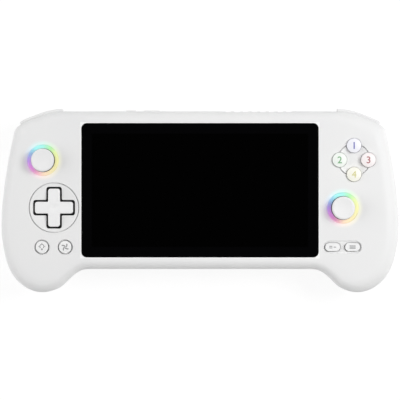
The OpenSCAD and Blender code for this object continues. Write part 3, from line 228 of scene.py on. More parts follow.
def past_frame(tree, where, margin):
    """How far a place lies outside a rectangle that is wider than the glass by a margin all round."""
    there = from_middle(tree, where, LENS_AT)
    size = add(tree, "ShaderNodeVectorMath", {"operation": "ABSOLUTE"}, {0: there})
    half = ((LENS_W / 2 + margin) * MM, (LENS_H / 2 + margin) * MM, 1.0)
    past = add(tree, "ShaderNodeVectorMath", {"operation": "SUBTRACT", 1: half}, {0: size.outputs["Vector"]})
    axes = add(tree, "ShaderNodeSeparateXYZ", links={0: past.outputs["Vector"]})
    return maths(tree, "MAXIMUM", axes.outputs["X"], axes.outputs["Y"])


def white_shell(name):
    """Moulded ABS, spark eroded: a dull even white with a soft highlight."""
    made, tree, shader = finish(name, "#EBEBEB", 0.5, **{"Specular IOR Level": 0.35})
    where = spark_texture(tree, shader, 0.5, 0.03, (0.46, 0.58), 0.12)
    tone = two_tones(tree, noise(tree, where, 35, Detail=2.0), "#E8E8E9", "#EEEEED")
    feed(tree, shader, {"Base Color": tone})
    return made, tree, shader, where, tone


def white_front():
    """The shell's ABS with painted ring light near the sticks (its colour shifted to the ring hues, and a
    glow) and a painted highlight round the glass.
    """
    made, tree, shader, where, colour = white_shell("moulded front ABS with painted light")
    shares = []
    # Painted light: near each ring the shell's colour is shifted to the ring's hue and the shell glows, as if
    # lit by the ring.
    for at in STICKS.values():
        there, hue = ring_colour(tree, where, at)
        flat = add(tree, "ShaderNodeVectorMath", {"operation": "MULTIPLY", 1: (1.0, 1.0, 0.0)}, {0: there})
        away = add(tree, "ShaderNodeVectorMath", {"operation": "LENGTH"}, {0: flat.outputs["Vector"]})
        start, end = RING_OUT * MM, (RING_OUT + GLOW_REACH) * MM
        share = ranged(tree, away.outputs["Value"], GLOW_SHARE, 0.0, start, end,
                       interpolation_type="SMOOTHERSTEP")
        painted_ring_light = add(tree, "ShaderNodeMix", {"data_type": "RGBA"}, {"Factor": share, 6: colour, 7: hue})
        colour = painted_ring_light.outputs[2]
        shares.append(share)
    glow = maths(tree, "MULTIPLY", maths(tree, "ADD", *shares), GLOW_LEVEL)
    # Painted highlight: a thin band of the shell round the glass is painted whiter.
    rim = ranged(tree, past_frame(tree, where, PAINTED_RIM_HIGHLIGHT), 1.0, 0.0, 0.0, FADE * MM)
    painted_highlight = {"data_type": "RGBA", 7: linear("#FAFAFA")}
    whole = add(tree, "ShaderNodeMix", painted_highlight, {"Factor": rim, 6: colour})
    feed(tree, shader, {"Emission Color": colour, "Emission Strength": glow, "Base Color": whole.outputs[2]})
    return made


def white_key(name, low, high):
    """Satin ABS of the keys: smoother than the shell, so their crowns catch the light, in two close tones."""
    made, tree, shader = finish(f"satin {name} ABS", low, 0.36, **{"Specular IOR Level": 0.45})
    where = spark_texture(tree, shader, 0.8, 0.02, (0.32, 0.42), 0.06)
    feed(tree, shader, {"Base Color": two_tones(tree, noise(tree, where, 3), low, high)})
    return made


def white_cap():
    """Soft rubber of the thumb caps: dull, with no sharp highlight."""
    made, tree, shader = finish("moulded silicone", "#EDEDED", 0.62, **{"Specular IOR Level": 0.3})
    spark_texture(tree, shader, 0.6, 0.03, (0.58, 0.7), 0.12)
    return made


def lit_ring(side):
    """Frosted polycarbonate with lamps behind it: it glows in hues that run round the stick."""
    glow = {"Emission Strength": RING_LEVEL}
    made, tree, shader = finish(f"{side} frosted polycarbonate", "#F4F0F4", 0.4, **glow)
    where = piece_place(tree)
    hue = ring_colour(tree, where, STICKS[side])[1]
    frost = ranged(tree, noise(tree, where, 0.6), 0.34, 0.48)
    feed(tree, shader, {"Base Color": hue, "Emission Color": hue, "Roughness": frost})
    return made


def cover_glass():
    """Coated cover glass, printed black behind: it reflects little, and its border is a touch lighter."""
    made, tree, shader = finish("coated cover glass", "#040404", 0.08, **{"Specular IOR Level": 0.12})
    where = piece_place(tree)
    border = ranged(tree, past_frame(tree, where, -SCREEN_IN), 0.0, 1.0, 0.0, FADE * MM)
    smear = ranged(tree, noise(tree, where, 18, Detail=4.0), 0.06, 0.12)
    feed(tree, shader, {"Base Color": two_tones(tree, border, "#010101", "#040405"), "Roughness": smear})
    return made


def ink(name, colour):
    """Pad printed ink: flat colour, thin enough to let a little of the key through."""
    made, tree, shader = finish(f"pad printed {name} ink", colour, 0.5)
    thin = ranged(tree, noise(tree, piece_place(tree), 0.3), 0.0, 0.16)
    feed(tree, shader, {"Base Color": two_tones(tree, thin, colour, "#F1F1F1")})
    return made


def grained(name, colours, size, roughness, **sockets):
    """Two close tones in a grain of a real size, for the pieces inside."""
    made, tree, shader = finish(name, colours[0], sum(roughness) / 2, **sockets)
    where = spark_texture(tree, shader, size, 0.02, roughness)
    spots = noise(tree, where, size * 4, Detail=4.0)
    feed(tree, shader, {"Base Color": two_tones(tree, spots, *colours)})
    return made


FRONT, SHELL = white_front(), white_shell("moulded ABS")[0]
CAP, GLASS = white_cap(), cover_glass()
KEY = white_key("white", "#F0F0F0", "#F5F5F5")
# Black ABS for the pieces inside; the same material also paints shade on the stick skirts and the cross pad's
# flange.
BLACK_PLASTIC_AND_PAINTED_SHADE = grained("moulded black ABS and painted shade", ("#0B0B0C", "#141416"), 0.5, (0.45, 0.6))
STEEL = grained("nickel plated steel", ("#8F9296", "#A5A8AC"), 0.4, (0.28, 0.4), Metallic=1.0)
INSIDE = {
    "black_plastic": BLACK_PLASTIC_AND_PAINTED_SHADE,
    "steel": STEEL,
    "display_black": grained("display back sheet", ("#060607", "#0C0C0E"), 0.8, (0.3, 0.4)),
    "adhesive_foam": grained("closed cell foam tape", ("#101011", "#1A1A1B"), 0.3, (0.8, 0.95)),
    "aluminium": grained("rolled aluminium", ("#B9BCC0", "#C9CCD0"), 0.6, (0.3, 0.45), Metallic=1.0),
    "copper": grained("drawn copper", ("#B0734C", "#C28660"), 0.5, (0.25, 0.4), Metallic=1.0),
    "board": grained("solder mask on glass laminate", ("#0E3A22", "#14482C"), 0.4, (0.35, 0.5)),
    "flex_film": grained("polyimide film", ("#9A5E1E", "#B0722B"), 0.6, (0.25, 0.4)),
    "membrane": grained("moulded grey silicone", ("#8C8C8C", "#979797"), 0.5, (0.6, 0.75)),
    "battery_foil": grained("laminated foil pouch", ("#2B2B2E", "#38383C"), 1.2, (0.35, 0.5)),
}


# Mesh tools

def put(name, data):
    """New object in the scene."""
    made = bpy.data.objects.new(name, data)
    bpy.context.scene.collection.objects.link(made)
    return made


def bake(thing):
    """Turns the modifiers of an object into its plain mesh."""
    seen = bpy.context.evaluated_depsgraph_get()
    seen.update()
    made = bpy.data.meshes.new_from_object(thing.evaluated_get(seen))
    old = thing.data
    thing.modifiers.clear()
    thing.data = made
    bpy.data.meshes.remove(old)


def solid(name, parts, weld=0.002):
    """An object from (points, faces) pairs, still in millimetres, welded and facing outwards."""
    mesh = bpy.data.meshes.new(name)
    points, faces = [], []
    for part_points, part_faces in parts:
        base = len(points)
        points += [tuple(map(float, p)) for p in part_points]
        faces += [tuple(base + int(i) for i in f) for f in part_faces]
    mesh.from_pydata(points, [], faces)
    shape = bmesh.new()
    shape.from_mesh(mesh)
    bmesh.ops.remove_doubles(shape, verts=shape.verts, dist=weld)
    bmesh.ops.dissolve_degenerate(shape, edges=shape.edges, dist=weld / 4)
    bmesh.ops.recalc_face_normals(shape, faces=shape.faces)
    shape.to_mesh(mesh)
    shape.free()
    return put(name, mesh)


def combine(target, tool, operation="DIFFERENCE"):
    """Cuts the tool from the target or joins it, and drops the tool."""
    cut = target.modifiers.new("cut", "BOOLEAN")
    cut.object, cut.operation, cut.solver = tool, operation, "EXACT"
    bake(target)
    bpy.data.objects.remove(tool)
    return target


def paint(thing, material):
    """Brings a piece from millimetres to metres and gives it its one material."""
    thing.data.transform(Matrix.Scale(MM, 4))
    thing.data.materials.clear()
    thing.data.materials.append(material)


def dress(thing, material, node, sharp=32.0, weight=True):
    """Smooths a solid up to sharp edges and sets it on the body of the node it stands for."""
    paint(thing, material)
    shape = bmesh.new()
    shape.from_mesh(thing.data)
    for face in shape.faces:
        face.smooth, face.material_index = True, 0
    for edge in shape.edges:
        edge.smooth = len(edge.link_faces) == 2 and math.degrees(edge.calc_face_angle(0.0)) < sharp
    shape.to_mesh(thing.data)
    shape.free()
    if weight:
        even = thing.modifiers.new("even", "WEIGHTED_NORMAL")
        even.keep_sharp, even.weight = True, 90
        bake(thing)
    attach(thing, NODE_BODY[node])
    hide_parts(node)
    return thing


def on_top(thing, material, node):
    """Sets a print or mark on the body of a node."""
    paint(thing, material)
    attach(thing, NODE_BODY[node])
    return thing


def rounded(w, h, r, at=(0, 0), steps=10):
    """Closed loop of a rounded rectangle, against the clock."""
    turn = np.radians(np.linspace(0, 90, steps + 1))
    loop = []
    for quarter, (sx, sy) in enumerate(((1, 1), (-1, 1), (-1, -1), (1, -1))):
        a = turn + quarter * math.pi / 2
        loop += list(zip(at[0] + sx * (w / 2 - r) + r * np.cos(a), at[1] + sy * (h / 2 - r) + r * np.sin(a)))
    return np.array(loop)


def circle(r, at, steps=96):
    """Closed loop of a circle, against the clock."""
    a = np.linspace(0, 2 * math.pi, steps, endpoint=False)
    return np.column_stack([at[0] + r * np.cos(a), at[1] + r * np.sin(a)])


def cross_loop(w, arm, r, at, inner=0.5):
    """Closed loop of a cross with rounded arm ends and small fillets in its corners."""
    turn = np.radians(np.linspace(0, 90, 7))
    a, b = w / 2, arm / 2
    quarter = [(a - r + r * math.cos(t), b - r + r * math.sin(t)) for t in turn]
    quarter += [(b + inner - inner * math.sin(t), b + inner - inner * math.cos(t)) for t in turn]
    quarter += [(b - r + r * math.cos(t), a - r + r * math.sin(t)) for t in turn]
    loop = []
    for c, s in ((1, 0), (0, 1), (-1, 0), (0, -1)):
        loop += [(at[0] + c * x - s * y, at[1] + s * x + c * y) for x, y in quarter]
    return np.array(loop)


def normals_of(loop):
    """Outward normals of a closed loop that runs against the clock."""
    along = np.roll(loop, -1, axis=0) - np.roll(loop, 1, axis=0)
    along = along / np.linalg.norm(along, axis=1)[:, None]
    return np.column_stack([along[:, 1], -along[:, 0]])


def lifted(loop, z):
    """A flat loop at one height, or at a height for each point."""
    return np.column_stack([loop, np.broadcast_to(z, (len(loop),))])


def strips(loops):
    """Bands of faces between closed loops of equal length."""
    n = len(loops[0])
    faces = [(k * n + i, k * n + (i + 1) % n, (k + 1) * n + (i + 1) % n, (k + 1) * n + i)
             for k in range(len(loops) - 1) for i in range(n)]
    return np.concatenate(loops), faces


def lidded(loops):
    """Bands between loops with both ends filled."""
    points, faces = strips(loops)
    n = len(loops[0])
    return points, faces + [tuple(range(n)), tuple(range(len(points) - n, len(points)))]


def turned(profile, at, steps=96):
    """Solid of revolution from (radius, height) pairs; a radius of nought closes it."""
    points, faces, rings = [], [], []
    for r, z in profile:
        if r == 0:
            rings.append([len(points)] * steps)
            points.append((at[0], at[1], z))
        else:
            rings.append(list(range(len(points), len(points) + steps)))
            points += [(x, y, z) for x, y in circle(r, at, steps)]
    for low, high in zip(rings, rings[1:]):
        for i in range(steps):
            j = (i + 1) % steps
            corner = [low[i], low[j], high[j], high[i]]
            faces.append(tuple(dict.fromkeys(corner)))
    return np.array(points), [f for f in faces if len(f) > 2]


def arc(at, r, start, end, steps=6):
    """Points of an arc, in a (radius, height) profile or a flat drawing."""
    a = np.radians(np.linspace(start, end, steps + 1))
    return [(at[0] + r * math.cos(t), at[1] + r * math.sin(t)) for t in a]


def edged(loop, low, top, edge, steps=5):
    """Loops up the side of a prism and over its rounded upper edge."""
    out = normals_of(loop)
    loops = [lifted(loop, low)]
    for t in np.radians(np.linspace(0, 90, steps + 1)):
        loops.append(lifted(loop - out * edge * (1 - math.cos(t)), top - edge + edge * math.sin(t)))
    return loops


# Case outline and surface, as in the CAD source

UPPER_KNOTS = [(0, DECK_TOP, 0), (HALF_W - 35.5, DECK_TOP, 0), (HALF_W - 21.5, DECK_TOP - 2.7, -22),
               (HALF_W - 10.3, DECK_TOP - 7.7, -33), (HALF_W - 7.3, DECK_TOP - 11.8, -78),
               (HALF_W - 4, DECK_TOP - 27.2, -80.5), (HALF_W, GRIP_MID, -90)]
LOWER_KNOTS = [(HALF_W, GRIP_MID, -90), (HALF_W - 2.3, GRIP_MID - 18, -104),
               (HALF_W - 8.8, 6.8 - GRIP_LOW, -133), (HALF_W - 23, -GRIP_LOW, -180),
               (HALF_W - 34, 3.3 - GRIP_LOW, -213),
               (HALF_W - 38.2, 7.3 - GRIP_LOW, -222), (HALF_W - 45, -DECK_LOW - 0.8, -203),
               (HALF_W - 51.5, -DECK_LOW, -180), (0, -DECK_LOW, -180)]
UPPER_STEPS = [8, 3, 2, 4, 3, 6]
LOWER_STEPS = [3, 3, 5, 4, 1, 2, 2, 6]


def walk(knots, steps):
    """Points and headings along a chain of cubic curves."""
    found = []
    for p, q, n in zip(knots, knots[1:], steps):
        a, b = np.array(p[:2], float), np.array(q[:2], float)
        length = np.linalg.norm(b - a)
        headings = [math.radians(k) for k in (p[2], q[2])]
        u, v = (length * np.array([math.cos(k), math.sin(k)]) for k in headings)
        for t in np.arange(n * FINE) / (n * FINE):
            spot = a * (2 * t**3 - 3 * t**2 + 1) + u * (t**3 - 2 * t**2 + t)
            spot = spot + b * (3 * t**2 - 2 * t**3) + v * (t**3 - t**2)
            way = (b - a) * (6 * t - 6 * t**2) + u * (3 * t**2 - 4 * t + 1) + v * (3 * t**2 - 2 * t)
            found.append((*spot, *(way / np.linalg.norm(way))))
    return found


UPPER_PATH = walk(UPPER_KNOTS, UPPER_STEPS)
RIGHT_HALF = np.array(UPPER_PATH + walk(LOWER_KNOTS, LOWER_STEPS) + [(0, -DECK_LOW, -1, 0)])
LEFT_HALF = RIGHT_HALF[-2:0:-1] * (-1, 1, 1, -1)
OUTLINE = np.concatenate([RIGHT_HALF, LEFT_HALF])[::-1] * (1, 1, -1, -1)


def inset(path, d):
    """Path moved to its left, which is into the case."""
    return path[:, :2] + d * np.column_stack([-path[:, 3], path[:, 2]])


def gap_to(points, loop):
    """Distance of points from a closed loop."""
    a, v = loop, np.roll(loop, -1, axis=0) - loop
    found = np.full(len(points), 1e9)
    for start in range(0, len(points), 2000):
        p = points[start:start + 2000, None, :] - a[None]
        t = np.clip((p * v).sum(2) / (v * v).sum(1), 0, 1)
        found[start:start + 2000] = np.linalg.norm(p - t[..., None] * v, axis=2).min(1)
    return found


def edge_gap(points):
    """Distance of points from the outline of the case."""
    return gap_to(points, OUTLINE[:, :2])


def inside(points, loop):
    """Whether points lie inside a closed loop."""
    x, y = points[:, 0:1], points[:, 1:2]
    a, b = loop, np.roll(loop, -1, axis=0)
    crossing = (a[:, 1] > y) != (b[:, 1] > y)
    rise = np.where(a[:, 1] == b[:, 1], 1.0, b[:, 1] - a[:, 1])
    return (crossing & (x < a[:, 0] + (y - a[:, 1]) * (b[:, 0] - a[:, 0]) / rise)).sum(1) % 2 == 1


def ease(t):
    """Smooth step from nought to one."""
    t = np.clip(t, 0, 1)
    return t * t * (3 - 2 * t)


def arc_up(t):
    """Quarter of a circle that rises from nought to one."""
    return np.sqrt(np.clip(1 - (1 - np.clip(t, 0, 1)) ** 2, 0, 1))


def front_skin(p, d, w=0.0):
    """Height of the front half, w in from its outside."""
    r = FRONT_R + (FRONT_GRIP_R - FRONT_R) * ease((abs(p[:, 0]) - HALF_W + FRONT_RUN_OUT) / FRONT_RUN)
    return SEAM_Z + (1 - SEAM / FRONT_H) * (FRONT_H - w) * arc_up((d - w) / (r - w))


def rear_skin(p, d, w=0.0):
    """Height of the rear half, w in from its outside."""
    swell = ease((abs(p[:, 0]) - HALF_W + GRIP_RUN_OUT) / GRIP_RUN) * ease((GRIP_TOP - p[:, 1]) / GRIP_RISE)
    r = REAR_R + (GRIP_R - REAR_R) * swell
    return PART_Z - (REAR_H + BACK_Z * swell - w) * arc_up((d - w) / (r - w))


def seam_edge(z, way):
    """Loops of the rounding at the seam, upwards (1) or downwards (-1) from a height."""
    part = SEAM_ROUND * 0.3
    return [lifted(inset(OUTLINE, SEAM_ROUND), z), lifted(inset(OUTLINE, part), z + way * part),
            lifted(inset(OUTLINE, 0), z + way * SEAM_ROUND)]


def band_depths(w, rings):
    """Widths of the band along the outline, close together at its steep start."""
    return w + (EDGE_D - w) * (1 - np.cos(np.radians(90 * np.arange(rings + 1) / rings)))


def grid(step, keep):
    """Points of a grid over the case that a test keeps."""
    xs = np.arange(-HALF_W, HALF_W, step)
    ys = np.arange(-GRIP_LOW, DECK_TOP, step)
    points = np.array([(x + (step / 2 if k % 2 else 0), y) for k, y in enumerate(ys) for x in xs])
    return points[keep(points)]


NO_POINTS = np.zeros((0, 2))


def filled(border, holes, creases, points, clear):
    """Triangles inside a border and outside holes, with creases as edges and loose points clear of them."""
    loops = [border, *holes, *creases]
    near = np.min([gap_to(points, loop) for loop in loops], axis=0) if len(points) else np.zeros(0)
    points = points[(near > clear) & inside(points, border)] if len(points) else points
    spots, edges = [], []
    for loop in loops:
        base = len(spots)
        spots += list(loop)
        edges += [(base + i, base + (i + 1) % len(loop)) for i in range(len(loop))]
    spots += list(points)
    found, _, faces, *_ = delaunay_2d_cdt([tuple(map(float, p)) for p in spots], edges, [], 0, 1e-6)
    found, faces = np.array([tuple(p) for p in found]), np.array(faces)
    middles = found[faces].mean(1)
    keep = inside(middles, border)
    for hole in holes:
        keep &= ~inside(middles, hole)
    return found, faces[keep]


def rims(faces):
    """Closed chains of the edges that only one face uses, against the clock round each hole's material."""
    used = {}
    for a, b, c in faces:
        for edge in ((a, b), (b, c), (c, a)):
            used[edge] = True
    after = {a: b for a, b in used if (b, a) not in used}
    chains = []
    while after:
        start = next(iter(after))
        chain = [start]
        while after.get(chain[-1], start) != start:
            chain.append(after.pop(chain[-1]))
        after.pop(chain[-1], None)
        chains.append(chain)
    return chains


# Front half

LENS_R, LENS_RIM = 3.0, 0.12
LEDGE_W, LEDGE_OUT, LEDGE_T, LEDGE_R = 2.6, 2.7, 1.6, 1.0
LEDGE_TOP = LENS_LO[2] - 0.2
DPAD_AT = centre("dpad")[:2]
DPAD_W, DPAD_ARM, DPAD_CORNER, DPAD_GAP = 21.4, 6.6, 1.4, 1.05
DISH_R, DISH_T = 13.95, 1.5
FACE_KEYS = {side: centre(f"face_button_{side}")[:2] for side in ("top", "left", "right", "bottom")}
FACE_AT = (FACE_KEYS["left"] + FACE_KEYS["right"]) / 2
FACE_R, FACE_RIM, FACE_WIDER = 4.0, 0.1, 0.1
FACE_DISH_R, FACE_DISH_T = 9.1, 1.3
DISHES = ((DPAD_AT, DISH_R, DISH_T), (FACE_AT, FACE_DISH_R, FACE_DISH_T))
DISH_RINGS = (0.93, 0.8, 0.66, 0.5, 0.33, 0.15)     # circles of points in a dish, as shares of its radius
ROUND_KEYS = {name: centre(f"{name}_button")[:2] for name in ("light", "fan")}
ROUND_R, ROUND_GAP = 3.5, 0.7
PILLS = {name: centre(f"{name}_button")[:2] for name in ("select", "start")}
PILL_W, PILL_H = 8.4, 4.7
PILLS_AT = (PILLS["select"] + PILLS["start"]) / 2
RECESS_W, RECESS_H, RECESS_T = 21.5, 7.2, 0.9
RECESS_SLOPE = 0.15
GROOVE_W, GROOVE_T, GROOVE_SLOPE = 0.5, 1.2, 0.05     # fine groove that edges both dishes


def dish(points, at, r, t):
    """Height of a shallow ball-shaped dish in the face."""
    big = (r * r + t * t) / (2 * t)
    away = np.minimum(np.linalg.norm(points - at, axis=1), r)
    return FRONT_Z - t + big - np.sqrt(big * big - away * away)


def recess_loop(inwards):
    """Edge of the pill recess, moved inwards."""
    return rounded(RECESS_W - 2 * inwards, RECESS_H - 2 * inwards, RECESS_H / 2 - FIT - inwards, PILLS_AT)


def face_height(points):
    """Height of the front with its dishes, their grooves and the recess of the pill keys."""
    height = front_skin(points, edge_gap(points))
    for at, r, t in DISHES:
        height = np.minimum(height, dish(points, at, r, t))
        cut = abs(np.linalg.norm(points - at, axis=1) - r) < GROOVE_W / 2 - GROOVE_SLOPE / 2
        height = np.where(cut, FRONT_Z - GROOVE_T, height)
    bottom = recess_loop(RECESS_SLOPE)
    sunk = inside(points, bottom) | (gap_to(points, bottom) < RECESS_SLOPE / 2)
    return np.where(sunk, FRONT_Z - RECESS_T, height)


def face_holes():
    """Loops of the holes in the face, at the outside of their rounded rims; the screen's is the last."""
    holes = [circle(RING_OUT + FIT + RIM, at) for at in STICKS.values()]
    room = 2 * (DPAD_GAP + RIM)
    holes += [cross_loop(DPAD_W + room, DPAD_ARM + room, DPAD_CORNER + RIM, DPAD_AT, 0.4)]
    holes += [circle(FACE_R + RUN + FACE_RIM, at, 64) for at in FACE_KEYS.values()]
    holes += [circle(ROUND_R + ROUND_GAP + RIM, at, 64) for at in ROUND_KEYS.values()]
    room = 2 * (RUN + RIM)
    holes += [rounded(PILL_W + room, PILL_H + room, PILL_H / 2 + RIM, at) for at in PILLS.values()]
    room = FIT + LENS_RIM
    return holes + [rounded(LENS_W + 2 * room, LENS_H + 2 * room, LENS_R + FIT + LENS_RIM, LENS_AT)]


def face_creases():
    """Edges of the grooves round both dishes and of the pill recess."""
    creases = [circle(r + side * (GROOVE_W / 2 - slope), at, 120) for at, r, _ in DISHES
               for side in (-1, 1) for slope in (0, GROOVE_SLOPE)]
    return creases + [recess_loop(0), recess_loop(RECESS_SLOPE)]


def rim_loops(loop, height, r):
    """Loops over the rounded rim of a hole, from the face to its wall."""
    into = normals_of(loop)
    return [np.column_stack([loop + into * r * math.sin(t), height - r * (1 - math.cos(t))])
            for t in np.radians((0, 30, 60, 90))]


def screen_well(rim):
    """Loops from the rim of the screen's pocket round the ledge that carries the glass."""
    w, h = LENS_W + 2 * FIT, LENS_H + 2 * FIT
    in_w, in_h, low = w - 2 * LEDGE_W, h - 2 * LEDGE_W, LEDGE_TOP - LEDGE_T
    rings = [(w, h, LENS_R + FIT, LEDGE_TOP), (in_w, in_h, LEDGE_R, LEDGE_TOP), (in_w, in_h, LEDGE_R, low),
             (w + 2 * LEDGE_OUT, h + 2 * LEDGE_OUT, LENS_R, low)]
    frames = [lifted(rounded(a, b, r, LENS_AT), z) for a, b, r, z in rings]
    first = np.argmin(np.linalg.norm(rim[-1][:, :2] - frames[0][0, :2], axis=1))
    rim = [np.roll(k, -first, axis=0) for k in rim]
    if np.linalg.norm(rim[-1][1, :2] - frames[0][1, :2]) > 1:
        rim = [np.roll(k[::-1], 1, axis=0) for k in rim]
    return [*rim, lifted(rim[-1][:, :2], LEDGE_TOP), *frames[1:]]


def inner_face(points):
    """Points of the inner side of the front half."""
    return lifted(points, front_skin(points, edge_gap(points), WALL))


def near_edge(points):
    """Whether points lie where the front bends."""
    return edge_gap(points) < FRONT_GRIP_R + 1


def front_half():
    """Front of the case: rounded edge, face with dishes and holes, screen ledge and inner side."""
    n = len(OUTLINE)
    border = inset(OUTLINE, EDGE_D)
    loops = [lifted(inset(OUTLINE, WALL), SEAM_Z), *seam_edge(SEAM_Z, 1)]
    for d in band_depths(0, 12)[1:]:
        edge = inset(OUTLINE, d)
        loops.append(lifted(edge, np.maximum(front_skin(edge, np.full(n, d)), SEAM_Z + SEAM_ROUND * 1.5)))
    parts = [strips(loops)]
    loose = [grid(1.5, near_edge)] + [circle(r * k, at, 72) for at, r, _ in DISHES for k in DISH_RINGS]
    flat, faces = filled(border, face_holes(), face_creases(), np.concatenate(loose), 0.35)
    top = face_height(flat)
    parts.append((lifted(flat, top), faces))
    inner_holes = []
    for chain in rims(faces):
        loop = flat[chain]
        width = np.ptp(loop[:, 0])
        if width > np.ptp(border[:, 0]) - 1:
            continue
        if width > LENS_W:
            walls = screen_well(rim_loops(loop, top[chain], LENS_RIM))
        else:
            in_dish = np.linalg.norm(loop.mean(0) - FACE_AT) < FACE_DISH_R
            walls = rim_loops(loop, top[chain], FACE_RIM if in_dish else RIM)
        bottom = walls[-1][:, :2]
        parts.append(strips([*walls, inner_face(bottom)]))
        inner_holes.append(bottom)
    inner = [lifted(inset(OUTLINE, WALL), SEAM_Z)]
    for d in band_depths(WALL, 5)[1:]:
        edge = inset(OUTLINE, d)
        inner.append(lifted(edge, front_skin(edge, np.full(n, d), WALL)))
    parts.append(strips(inner))
    flat, faces = filled(border, inner_holes, [], grid(3.0, near_edge), 0.8)
    parts.append((inner_face(flat), faces))
    return solid("front_half", parts)


# Rear half

def skin_solid(name, w, rings, step, lip):
    """Closed solid under the rear skin, w in from its outside, with a lip past the seam or a rounded edge."""
    def curved(points):
        """Whether points lie where the rear bends."""
        return (abs(points[:, 0]) > HALF_W - GRIP_RUN_OUT - step) | (edge_gap(points) < REAR_R + 2)

    n = len(OUTLINE)
    if lip:
        loops, depths, highest = [lifted(inset(OUTLINE, w), PART_Z + lip)], band_depths(w, rings), PART_Z
    else:
        loops, depths = seam_edge(PART_Z, -1), band_depths(w, rings)[1:]
        highest = PART_Z - SEAM_ROUND * 1.5
    for d in depths:
        edge = inset(OUTLINE, d)
        loops.append(lifted(edge, np.minimum(rear_skin(edge, np.full(n, d), w), highest)))
    flat, faces = filled(inset(OUTLINE, EDGE_D), [], [], grid(step, curved), step / 3)
    field = (lifted(flat, rear_skin(flat, edge_gap(flat), w)), faces)
    lid, lid_faces = filled(loops[0][:, :2], [], [], NO_POINTS, 1)
    return solid(name, [strips(loops), field, (lifted(lid, loops[0][0, 2]), lid_faces)])


SHOULDER_X, SHOULDER_END = HALF_W - 34.9, HALF_W - 10.9
SHOULDER_BACK, SHOULDER_SIDE, ROOM = DECK_TOP - 13.5, 2.2, 0.4
TRIGGER_LO, TRIGGER_HI = span("right_trigger")
TRIGGER_END = TRIGGER_HI[0]
BUMPER_LO, BUMPER_HI = span("right_bumper")
TRIGGER_TOP = BUMPER_LO[2] - ROOM
WELL_R, WELL_WALL = 2.6, 1.0
SCREW_SEAT = PART_Z - 3.8
SCREW_HOLE = 1.3
SCREWS = [(HALF_W - 43, DECK_TOP - 6.5), (98.0, GRIP_MID), (66.0, 6.1 - DECK_LOW)]
SPEAKER_AT = centre("right_speaker")[:2]
FAN_AT = centre("fan_housing")[:2]
FAR = 9.0


def block(x0, x1, y0, y1, z0, z1):
    """Plain box as loops, for cutting."""
    base = np.array([(x0, y0), (x1, y0), (x1, y1), (x0, y1)])
    return lidded([lifted(base, z0), lifted(base, z1)])


def both_sides(part):
    """A part and its mirror image."""
    points, faces = part
    return [part, (points * (-1, 1, 1), [tuple(reversed(f)) for f in faces])]


def drum(r, at, z0, z1):
    """Plain round bar as loops, for cutting."""
    base = circle(r, at, 64)
    return lidded([lifted(base, z0), lifted(base, z1)])


def geometry_tree(name, inputs):
    """Geometry tree with inputs by name and kind, and the sockets of those inputs."""
    tree = bpy.data.node_groups.new(name, "GeometryNodeTree")
    tree.interface.new_socket("Geometry", in_out="OUTPUT", socket_type="NodeSocketGeometry")
    for socket, kind in inputs.items():
        tree.interface.new_socket(socket, in_out="INPUT", socket_type=f"NodeSocket{kind}")
    return tree, add(tree, "NodeGroupInput").outputs


def on_axis(tree, axis, length):
    """Vector along one axis."""
    return add(tree, "ShaderNodeCombineXYZ", links={axis: length}).outputs[0]


def joined(tree, *pieces):
    """Pieces as one geometry."""
    whole = add(tree, "GeometryNodeJoinGeometry")
    for piece in pieces:
        tree.links.new(piece, whole.inputs["Geometry"])
    return whole.outputs["Geometry"]


def copy_out(tree, points, piece, material):
    """Ends a tree: real copies of a piece on points, in a material."""
    copies = add(tree, "GeometryNodeInstanceOnPoints", links={"Points": points, "Instance": piece})
    real = add(tree, "GeometryNodeRealizeInstances", links={"Geometry": copies.outputs["Instances"]})
    skin = {"Geometry": real.outputs["Geometry"], "Material": material}
    skin = add(tree, "GeometryNodeSetMaterial", links=skin)
    add(tree, "NodeGroupOutput", links={"Geometry": skin.outputs["Geometry"]})


def slot_tree():
    """Geometry Nodes: a row of round-ended slots along X, used to cut vents and grilles."""
    sizes = dict.fromkeys(("Pitch", "Width", "Length", "Depth"), "Float")
    tree, given = geometry_tree("slot_row", {"Count": "Int", **sizes, "Material": "Material"})
    step = on_axis(tree, "X", given["Pitch"])
    row = add(tree, "GeometryNodeMeshLine", links={"Count": given["Count"], "Offset": step})
    shape = add(tree, "GeometryNodeCurvePrimitiveQuadrilateral",
                links={"Width": given["Width"], "Height": given["Length"]})
    half = maths(tree, "MULTIPLY", given["Width"], 0.49)
    ends = add(tree, "GeometryNodeFilletCurve", {"mode": "POLY", "Count": 8},
               {"Curve": shape.outputs["Curve"], "Radius": half})
    face = add(tree, "GeometryNodeFillCurve", {"mode": "NGONS"}, {"Curve": ends.outputs["Curve"]})
    face = face.outputs["Mesh"]
    raised = add(tree, "GeometryNodeExtrudeMesh", {"Individual": False},
                 {"Mesh": face, "Offset": on_axis(tree, "Z", given["Depth"])})
    back = add(tree, "GeometryNodeFlipFaces", links={"Mesh": face})
    whole = joined(tree, raised.outputs["Mesh"], back.outputs["Mesh"])
    tight = add(tree, "GeometryNodeMergeByDistance", {"Distance": 0.001}, {"Geometry": whole})
    copy_out(tree, row.outputs["Mesh"], tight.outputs["Geometry"], given["Material"])
    return tree


def grown(name, tree, points=(), **inputs):
    """Object that a tree makes, with its inputs set by identifier before it is first evaluated."""
    mesh = bpy.data.meshes.new(name)
    mesh.from_pydata([tuple(p) for p in points], [], [])
    made = put(name, mesh)
    grow = made.modifiers.new("grow", "NODES")
    grow.node_group = tree
    for item in tree.interface.items_tree:
        if item.in_out == "INPUT" and item.name in inputs:
            grow[item.identifier] = inputs[item.name]
    bake(made)
    return made


SLOT_ROW = slot_tree()


